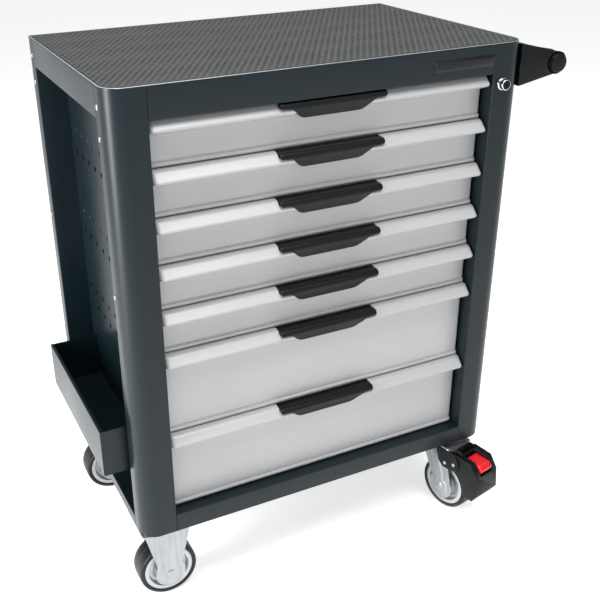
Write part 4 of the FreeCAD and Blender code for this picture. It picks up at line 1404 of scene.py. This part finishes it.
@dataclass
class PushBar:
    """The push bar with its two moulded arms.

    Attributes:
        groove: Depth of the ring groove between the bar and its end cap.
        steps: Steps round the bar.
    """

    wardrobe: Wardrobe
    groove: float = 1.4
    steps: int = 56

    def bar(self) -> Surface:
        """A turned bar: a bulged cap, a ring groove, the plain tube, and the same again."""
        low, high = box_mm("handle_grip")
        radius = (high[2] - low[2]) / 2
        reach = (high[1] - low[1]) / 2
        cap = np.array([(0, 0), (radius * 0.35, 0.15), (radius * 0.6, 0.5), (radius - 3.2, 1.1)])
        half = np.concatenate(
            [
                cap,
                arc((radius - 2.6, 2.9), 2.0, 290, 360, 6),
                [(radius - 0.6, 4.4), (radius - self.groove, 4.6), (radius - self.groove, 5.4)],
                arc((radius - 0.8, 6.4), 0.8, 270, 360, 4),
                [(radius, 7.4)],
            ]
        )
        start = half + (0, -reach)
        profile = np.concatenate([start, (start * (1, -1))[::-1]])
        return Surface.lathe(profile, Axis.Y, self.steps).moved((low + high) / 2)

    def build(self) -> None:
        """Makes the bar and softens the arms."""
        black = self.wardrobe[Slot.BLACK]
        forge("push_bar", self.bar(), "cabinet", black, ["handle_grip"])
        softened(
            "handle_brackets", "push_bar_arms", "cabinet", black, Softening(2.4, 4, 40)
        )


# ---------------------------------------------------------------- fasteners
RECESS_WIDTH, RECESS_LENGTH, RECESS_DEPTH = (0.45, 0.8), (2.1, 2.7), 1.1


def pan_head(radius: float, height: float) -> Surface:
    """A pan-head screw on its axis, X outwards, with a cross recess.

    The head is a flattened dome: height times the fourth root of one minus the fourth power of the radius
    share. Two crossed grooves are subtracted where either coordinate is near zero.
    """
    share = np.concatenate([np.linspace(0, 0.9, 10), [0.96, 0.99, 1.0]])[:, None]
    angle = np.linspace(0, 2 * np.pi, 40, endpoint=False)[None]
    y, z = radius * share * np.cos(angle), radius * share * np.sin(angle)
    dome = height * np.power(np.clip(1 - share**4, 0, 1), 0.25) * np.ones_like(angle)
    slim_y, slim_z = (1 - smooth(np.abs(value), *RECESS_WIDTH) for value in (y, z))
    long_y, long_z = (1 - smooth(np.abs(value), *RECESS_LENGTH) for value in (y, z))
    x = np.maximum(dome - RECESS_DEPTH * np.maximum(slim_y * long_z, slim_z * long_y), 0)
    return Surface.grid(np.stack([x, y, z], -1), wrap_columns=True)


def hexagon(across: float, low: float, high: float, chamfer: float = 0.8) -> Surface:
    """A hexagon nut or head upright on the origin's axis, its corners chamfered at both ends."""
    corner = across / math.sqrt(3)
    rows = [(corner - chamfer, low), (corner, low + chamfer / 2), (corner, high - chamfer / 2)]
    rows.append((corner - chamfer, high))
    angle = np.radians(np.arange(0, 360, 60))
    points = [[(r * math.cos(a), r * math.sin(a), z) for a in angle] for r, z in rows]
    return Surface.tube(np.array(points))


@dataclass
class Fasteners:
    """The side screws and the casters' plate bolts, at the model's places.

    Attributes:
        tall: A solid taller than this is a bolt.
        shank: Radius of a bolt.
        head: Width and height of a bolt's head.
        nut: Width, and the drops of its two faces below the bolt's end.
        screw: Radius and height of a screw's head.
        round_steps: Steps round a bolt.
    """

    wardrobe: Wardrobe
    tall: float = 12.0
    shank: float = 2.8
    head: tuple[float, float] = (10.0, 4.5)
    nut: tuple[float, float, float] = (9.5, 6.5, 1.5)
    screw: tuple[float, float] = (4.5, 2.0)
    round_steps: int = 16

    def build(self) -> None:
        """Makes one head for each screw and a hexagon head, shank and nut for each bolt."""
        screws, bolts = [], []
        base_low, base_high = box_mm("base_pan")
        middle = base_low[0] / 2 + base_high[0] / 2
        for low, high in solids_of("fasteners"):
            centre = (low + high) / 2
            if high[2] - low[2] > self.tall:
                place = (centre[0], centre[1], 0)
                shank = np.array([(0, low[2]), (self.shank, low[2]), (self.shank, high[2]), (0, high[2])])
                nut, bottom, top = self.nut
                bolts.append(hexagon(self.head[0], low[2], low[2] + self.head[1]).moved(place))
                bolts.append(hexagon(nut, high[2] - bottom, high[2] - top).moved(place))
                bolts.append(Surface.lathe(shank, Axis.Z, self.round_steps).moved(place))
                continue
            screw, rise = pan_head(*self.screw), self.screw[1]
            if centre[0] < middle:
                screws.append(screw.mirrored(0).moved((low[0] + rise, centre[1], centre[2])))
            else:
                screws.append(screw.moved((high[0] - rise, centre[1], centre[2])))
        steel = self.wardrobe[Slot.ZINC]
        forge(
            "side_screws", Surface.join(screws), "cabinet", steel, ["fasteners"], outward=False
        )
        forge("caster_bolts", Surface.join(bolts), "cabinet", steel)


# ---------------------------------------------------------------- casters
# The brake cover's ear, along the fork and up from the floor, in the swivel's own frame.
EAR_OUTLINE = ((-2, 140), (62, 140), (76, 124), (72, 106), (56, 101), (38, 100), (26, 110), (10, 126))
EAR_RADII = (8.0, 6.0, 3.0, 5.0, 5.0, 5.0)
EAR_GAP, EAR_THICKNESS = 2.2, 2.6
RIVET_PROFILE = ((0, -2.0), (1.8, -1.8), (3.2, -1.1), (3.9, 0.0), (3.9, 0.6), (0, 0.6))
RIVET_PLACES = ((42.0, 111.0), (63.0, 117.0))


@dataclass
class CasterSizes:
    """Sizes that the fixed and the swivel casters share, about the axle's or the plate's axis.

    Attributes:
        wheel: Radius of the wheel.
        rim: Radius of its grey centre.
        tread: Width of the tyre.
        leg_in: Distance from the middle to a leg.
        leg: Thickness of a leg.
        boss: Radius of a leg's round end.
        boss_angle: Angle in degrees where the straight edges meet the round end.
        bend: Height below the plate where a leg starts to narrow.
        raised: Height of the raised band and disc on a leg.
        band: Half widths where the band starts and ends to fall.
        band_rise: Heights above the axle where the band starts and is full.
        disc: Radii where the disc starts and ends to fall.
        axle: Radius of the axle.
        trail: Distance from the swivel's axis to the axle.
        yaw: How far the swivel casters are turned, in degrees.
        plate_z: Lower face of the mounting plate.
        crown_z: Upper face of the fork's crown.
        plate_size: Length and width of a mounting plate.
        plate_corner: Radius of a plate's corners.
    """

    wheel: float = 52.0
    rim: float = 44.0
    tread: float = 44.0
    leg_in: float = 25.0
    leg: float = 3.0
    boss: float = 27.0
    boss_angle: float = 35.0
    bend: float = 14.0
    raised: float = 1.8
    band: tuple[float, float] = (9.5, 12.5)
    band_rise: tuple[float, float] = (4.0, 16.0)
    disc: tuple[float, float] = (14.0, 17.5)
    axle: float = 5.0
    trail: float = 35.0
    yaw: float = -77.0
    plate_z: float = 152.0
    crown_z: float = 143.0
    plate_size: tuple[float, float] = (95.0, 88.0)
    plate_corner: float = 6.0

    def tyre(self) -> Surface:
        """A turned ring: flat bore, bulged walls, round shoulders and a crowned tread with a mould line."""
        half = self.tread / 2
        wall = np.array([(self.rim, half - 1.6), (self.rim + 1.6, half - 0.4), (self.rim + 3.2, half)])
        shoulder = arc((self.wheel - 5.2, half - 4.6), 4.6, 80, 12, 9)
        tread = np.array([(self.wheel - 0.12, half - 9), (self.wheel, half - 14), (self.wheel, 0.5)])
        seam = np.array([(self.wheel, 0.45), (self.wheel - 0.35, 0.0)])
        side = np.concatenate([wall, shoulder, tread, seam])
        loop = np.concatenate([side, (side * (1, -1))[::-1]])
        return Surface.lathe(loop, Axis.Y, 96, closed=True)

    def hub(self) -> Surface:
        """A turned wheel centre: bright outer ring, groove, dished web with a bead, and bearing boss."""
        half = self.tread / 2 - 2.0
        side = np.concatenate(
            [
                [(self.axle + 0.1, self.leg_in - 0.4), (12.2, self.leg_in - 0.4)],
                [(13.0, self.leg_in - 1.2)],
                [(13.0, half - 9.5)],
                arc((15.5, half - 9.5), 2.5, 180, 270, 4),
                [(24.0, half - 12.0), (26.0, half - 11.0), (28.0, half - 12.0)],
                [(34.0, half - 12.0), (35.4, half - 11.0), (36.0, half - 3.0)],
                arc((37.2, half - 1.2), 1.2, 180, 90, 4),
                arc((self.rim - 1.4, half - 1.4), 1.4, 90, 0, 4),
            ]
        )
        loop = np.concatenate([side, (side * (1, -1))[::-1]])
        return Surface.lathe(loop, Axis.Y, 72, closed=True)

    def leg_plate(self, axle_x: float, top_x: float, top_half: float, top_z: float) -> Surface:
        """A pressed leg's outer face, facing -Y, from the plate down to a round end about the axle.

        Each row spans the leg's two edges at that height: upright, then straight to the waist, then the
        circle of the boss. The face is raised by a band down the middle and a disc about the axle, both
        S-curves of the distance to them.
        """
        waist = math.radians(self.boss_angle)
        side, waist_z = self.boss * math.cos(waist), self.wheel + self.boss * math.sin(waist)
        bend_z = self.plate_z - self.bend
        upper = np.linspace(top_z, bend_z, 3)[:-1] if top_z > bend_z else np.empty(0)
        middle = np.linspace(min(top_z, bend_z), waist_z, 14)[:-1]
        turn = np.radians(np.linspace(self.boss_angle, -90, 16))
        z = np.concatenate([upper, middle, self.wheel + self.boss * np.sin(turn)])
        fall = np.clip((bend_z - z) / (bend_z - waist_z), 0, 1)
        round_half = np.sqrt(np.clip(self.boss**2 - (z - self.wheel) ** 2, 0, None))
        straight_left = top_x - top_half + (axle_x - side - top_x + top_half) * fall
        straight_right = top_x + top_half + (axle_x + side - top_x - top_half) * fall
        left = np.where(z >= waist_z - 1e-6, straight_left, axle_x - round_half)
        right = np.where(z >= waist_z - 1e-6, straight_right, axle_x + round_half)
        share = np.linspace(0, 1, 53)
        x = left[:, None] + (right - left)[:, None] * share
        line = axle_x + (top_x - axle_x) * np.clip((z - self.wheel) / (bend_z - self.wheel), 0, 1)
        off_line = np.abs(x - line[:, None])
        height = np.broadcast_to(z[:, None], x.shape)
        band = (1 - smooth(off_line, *self.band)) * smooth(height - self.wheel, *self.band_rise)
        disc = 1 - smooth(np.hypot(x - axle_x, height - self.wheel), *self.disc)
        y = -self.leg_in - self.leg - self.raised * np.maximum(band, disc)
        return Surface.grid(np.stack([x, y, height], -1))

    def axle_bolt(self, axle_x: float) -> list[Surface]:
        """The axle: a domed head with a washer at the front, the shank, and a hexagon nut behind."""
        reach = self.leg_in + self.leg + self.raised
        head = np.array([(0, -4.6), (4.0, -4.4), (7.0, -3.6), (8.8, -2.2), (9.4, -0.9), (9.4, -0.6)])
        washer = np.array([(11.2, -0.6), (11.4, 0.0), (11.4, 0.6), (0, 0.6)])
        front = Surface.lathe(np.concatenate([head, washer]), Axis.Y, 40)
        shank = np.array([(0, -reach), (self.axle, -reach), (self.axle, reach + 7), (0, reach + 7)])
        nut = hexagon(15.0, 0.0, 6.0)
        nut = Surface(nut.points[:, [0, 2, 1]], nut.faces)
        parts = [front.moved((0, -reach, 0)), Surface.lathe(shank, Axis.Y, 24), nut.moved((0, reach, 0))]
        return [part.moved((axle_x, 0, self.wheel)) for part in parts]

    def plate(self, length: float, width: float, low: float, high: float) -> Surface:
        """A flat plate with round corners."""
        radius = self.plate_corner
        a, b = length / 2 - radius, width / 2 - radius
        centres = ((a, b), (-a, b), (-a, -b), (a, -b))
        corners = [arc(at, radius, 90 * n, 90 * n + 90, 6) for n, at in enumerate(centres)]
        return Surface.prism(np.concatenate(corners), Axis.Z, low, high)


@dataclass
class Casters:
    """All four casters: fixed on the left, swivelling and braked on the right."""

    wardrobe: Wardrobe
    sizes: CasterSizes = field(default_factory=CasterSizes)

    def legs(self, axle_x: float, top_x: float, top_half: float, top_z: float) -> list[Surface]:
        """Both legs of a caster: the front one and its mirror image."""
        leg = self.sizes.leg_plate(axle_x, top_x, top_half, top_z)
        return [leg, leg.mirrored(1)]

    def wheel(self, end: str, side: str) -> None:
        """Dresses one wheel as a turned tyre and a turned centre."""
        low, high = box_mm(f"{end}_{side}_tyre")
        centre = (low + high) / 2
        turn = 0.0 if side == "left" else self.sizes.yaw
        body = f"{end}_{side}_wheel"
        tyre = self.sizes.tyre().turned(turn).moved(centre)
        rubber, grey = self.wardrobe[Slot.TYRE], self.wardrobe[Slot.WHEEL]
        forge(f"{end}_{side}_tread", tyre, body, rubber, [f"{end}_{side}_tyre"])
        hub = self.sizes.hub().turned(turn).moved(centre)
        forge(f"{end}_{side}_rim", hub, body, grey, [f"{end}_{side}_hub"])

    def fixed_steel(self, end: str) -> None:
        """Makes a fixed caster's legs, plate and axle, and the plate of the swivel opposite."""
        low, high = box_mm(f"{end}_left_tyre")
        centre = ((low + high) / 2) * (1, 1, 0)
        zinc = self.wardrobe[Slot.ZINC]
        first = end == "front"
        legs = Surface.join(self.legs(0, 0, 39.0, self.sizes.plate_z)).moved(centre)
        forge(
            f"{end}_left_legs", legs, "cabinet", zinc, ["caster_mounts"] if first else [],
            Softening(0.7, 3, 40, self.sizes.leg), outward=False,
        )
        base_z = box_mm("base_pan")[0][2]
        plate = self.sizes.plate(*self.sizes.plate_size, self.sizes.plate_z, base_z).moved(centre)
        forge(f"{end}_left_plate", plate, "cabinet", zinc, soft=Softening(0.5, 2))
        axle = Surface.join(self.sizes.axle_bolt(0)).moved(centre)
        forge(f"{end}_left_axle", axle, "cabinet", zinc)
        pivot = self.pivot(end)
        race = np.array(
            [(0, -9), (7, -9), (7, -5), (22, -5), (25.5, -4.2), (27, -2.6), (27, -1), (26, 0), (0, 0)]
        ) + (0, self.sizes.plate_z)
        upper = self.sizes.plate(*self.sizes.plate_size, self.sizes.plate_z, base_z)
        mount = Surface.join([upper, Surface.lathe(race, Axis.Z, 48)]).moved(pivot)
        forge(f"{end}_right_plate", mount, "cabinet", zinc, soft=Softening(0.4, 2, 50))

    def pivot(self, end: str) -> Array:
        """Where the swivel's upright axis meets the floor, from the joint of the record."""
        joint = next(j for j in frame["joints"] if j["name"] == f"{end}_right_swivel_turn")
        return np.array(joint["pos_m"]) / MM * (1, 1, 0)

    def swivel_steel(self, end: str) -> None:
        """Makes a swivel caster's fork: legs, crown, race and axle."""
        s = self.sizes
        crown = s.plate(80.0, 2 * (s.leg_in + s.leg), s.crown_z - s.leg, s.crown_z).moved((14.0, 0, 0))
        race = np.array([(8, 0), (25, 0), (28.4, 0.6), (29, 1.8), (28.6, 3.6), (26, 4.6), (8, 4.6)])
        race = Surface.lathe(race + (0, s.crown_z), Axis.Z, 56, closed=True)
        body = f"{end}_right_swivel"
        zinc = self.wardrobe[Slot.ZINC]
        place = self.pivot(end)
        legs = Surface.join(self.legs(s.trail, 8.0, 32.0, s.crown_z)).turned(s.yaw).moved(place)
        forge(
            f"{end}_right_legs", legs, body, zinc, [f"{end}_right_fork"],
            Softening(0.7, 3, 40, s.leg), outward=False,
        )
        rest = Surface.join([crown, race, *s.axle_bolt(s.trail)]).turned(s.yaw).moved(place)
        forge(f"{end}_right_crown", rest, body, zinc)

    def ear(self, end: str) -> None:
        """Makes the cover's ear on the outside of the fork, and its two rivets."""
        s = self.sizes
        place = self.pivot(end)
        body = f"{end}_right_swivel"
        inner = -s.leg_in - s.leg - EAR_GAP
        outer = inner - EAR_THICKNESS
        outline = filleted(EAR_OUTLINE, EAR_RADII, count=5)
        ear = Surface.prism(outline, Axis.Y, outer, inner).turned(s.yaw).moved(place)
        black = self.wardrobe[Slot.BLACK]
        forge(f"{end}_brake_ear", ear, body, black, soft=Softening(0.8, 3))
        rivet = Surface.lathe(np.array(RIVET_PROFILE), Axis.Y, 20)
        rivets = Surface.join([rivet.moved((x, outer, z)) for x, z in RIVET_PLACES])
        rivets = rivets.turned(s.yaw).moved(place)
        forge(f"{end}_brake_rivets", rivets, body, self.wardrobe[Slot.ZINC])

    def brake(self, end: str) -> None:
        """Softens the moulded brake cover and the pedal, and adds the ear."""
        softened(
            f"{end}_right_brake_cover", f"{end}_brake_hood", f"{end}_right_swivel",
            self.wardrobe[Slot.BLACK], Softening(1.0, 3, 35),
        )
        self.ear(end)
        softened(
            f"{end}_right_brake_pedal", f"{end}_brake_tread", f"{end}_right_pedal",
            self.wardrobe[Slot.RED], Softening(1.4, 4, 30),
        )

    def build(self) -> None:
        """Makes every caster."""
        for end in ("front", "rear"):
            for side in ("left", "right"):
                self.wheel(end, side)
            self.fixed_steel(end)
            self.swivel_steel(end)
            self.brake(end)


# ---------------------------------------------------------------- studio
@dataclass(frozen=True)
class Lamp:
    """A rectangular area light.

    Attributes:
        name: Object name.
        place: Where it hangs, in metres.
        aim: The point that it faces.
        size: Width and height in metres.
        power: Power in watts.
    """

    name: str
    place: tuple[float, float, float]
    aim: tuple[float, float, float]
    size: tuple[float, float]
    power: float

    def hang(self) -> None:
        """Adds the light to the scene."""
        data = bpy.data.lights.new(self.name, "AREA")
        data.shape = "RECTANGLE"
        data.size, data.size_y = self.size
        data.energy = self.power
        lamp = bpy.data.objects.new(self.name, data)
        lamp.location = self.place
        lamp.rotation_euler = (Vector(self.aim) - Vector(self.place)).to_track_quat("-Z", "Y").to_euler()
        bpy.context.scene.collection.objects.link(lamp)


LAMPS = (
    Lamp("left_softbox", (-2.1, -0.28, 0.85), (-0.35, -0.15, 0.72), (0.55, 1.5), 70),
    Lamp("front_fill", (0.9, -2.9, 1.7), (0, 0, 0.45), (2.4, 1.8), 14),
    Lamp("overhead", (-0.3, -0.9, 3.1), (0, -0.2, 0.6), (2.6, 1.6), 100),
)


@dataclass
class Studio:
    """Pale floor, soft lights and the camera.

    Attributes:
        camera_place: Where the camera stands, in metres.
        camera_aim: The point that it faces.
        camera_roll: Its turn about the line of sight, in radians.
        lens: Focal length in mm.
        sensor: Sensor width in mm.
        shift: Sideways shift of the picture.
        clip: Nearest and furthest distance seen, in metres.
        floor_reach: Half the floor's side in metres.
        floor_white: Grey value of the floor.
        floor_glow: How much light the floor gives off.
        sky: Colour of the world.
        sky_strength: Its strength.
    """

    camera_place: tuple[float, float, float] = (-0.6782, -1.3060, 1.1776)
    camera_aim: tuple[float, float, float] = (-0.0414, 0.0373, 0.4301)
    camera_roll: float = -0.013
    lens: float = 54.15
    sensor: float = 36.0
    shift: float = 0.0583
    clip: tuple[float, float] = (0.05, 50.0)
    floor_reach: float = 14.0
    floor_white: float = 0.82
    floor_glow: float = 0.60
    sky: Colour = (0.95, 0.98, 1.0)
    sky_strength: float = 0.34

    def floor(self) -> None:
        """Makes the pale, faintly glowing floor."""
        reach = self.floor_reach
        corners = [(-reach, -reach, 0), (reach, -reach, 0), (reach, reach, 0), (-reach, reach, 0)]
        mesh = bpy.data.meshes.new("studio_floor")
        mesh.from_pydata(corners, [], [(0, 1, 2, 3)])
        floor = bpy.data.objects.new("studio_floor", mesh)
        bpy.context.scene.collection.objects.link(floor)
        paint = bpy.data.materials.new("pale_floor")
        paint.use_nodes = True
        shader = paint.node_tree.nodes["Principled BSDF"]
        shader.inputs["Base Color"].default_value = rgba((self.floor_white,) * 3)
        shader.inputs["Roughness"].default_value = 0.95
        shader.inputs["Specular IOR Level"].default_value = 0.1
        shader.inputs["Emission Color"].default_value = (1.0, 1.0, 1.0, 1)
        shader.inputs["Emission Strength"].default_value = self.floor_glow
        mesh.materials.append(paint)

    def world(self) -> None:
        """Lights the scene evenly from all round."""
        world = bpy.data.worlds.new("studio")
        world.use_nodes = True
        background = world.node_tree.nodes["Background"]
        background.inputs["Color"].default_value = rgba(self.sky)
        background.inputs["Strength"].default_value = self.sky_strength
        bpy.context.scene.world = world

    def camera(self) -> None:
        """Places the camera."""
        data = bpy.data.cameras.new("camera")
        data.lens = self.lens
        data.sensor_width = self.sensor
        data.shift_x = self.shift
        data.clip_start, data.clip_end = self.clip
        camera = bpy.data.objects.new("camera", data)
        aim = Vector(self.camera_aim) - Vector(self.camera_place)
        turn = aim.to_track_quat("-Z", "Y").to_matrix() @ Matrix.Rotation(self.camera_roll, 3, "Z")
        camera.matrix_world = Matrix.Translation(self.camera_place) @ turn.to_4x4()
        bpy.context.scene.collection.objects.link(camera)
        bpy.context.scene.camera = camera

    def build(self) -> None:
        """Makes the floor, world, lights and camera."""
        bpy.context.scene.view_settings.view_transform = "Standard"
        self.floor()
        self.world()
        for lamp in LAMPS:
            lamp.hang()
        self.camera()


def main() -> None:
    """Builds the looks in order."""
    logging.basicConfig(level=logging.INFO, format="%(name)s %(message)s")
    wardrobe = Wardrobe()
    Studio().build()
    Cabinet(wardrobe).build()
    Mat(wardrobe).build()
    for number in range(1, 8):
        Drawer(wardrobe, number).build()
    LockSet(wardrobe).build()
    SideBin(wardrobe).build()
    PushBar(wardrobe).build()
    Fasteners(wardrobe).build()
    Casters(wardrobe).build()


if __name__ == "__main__":
    main()
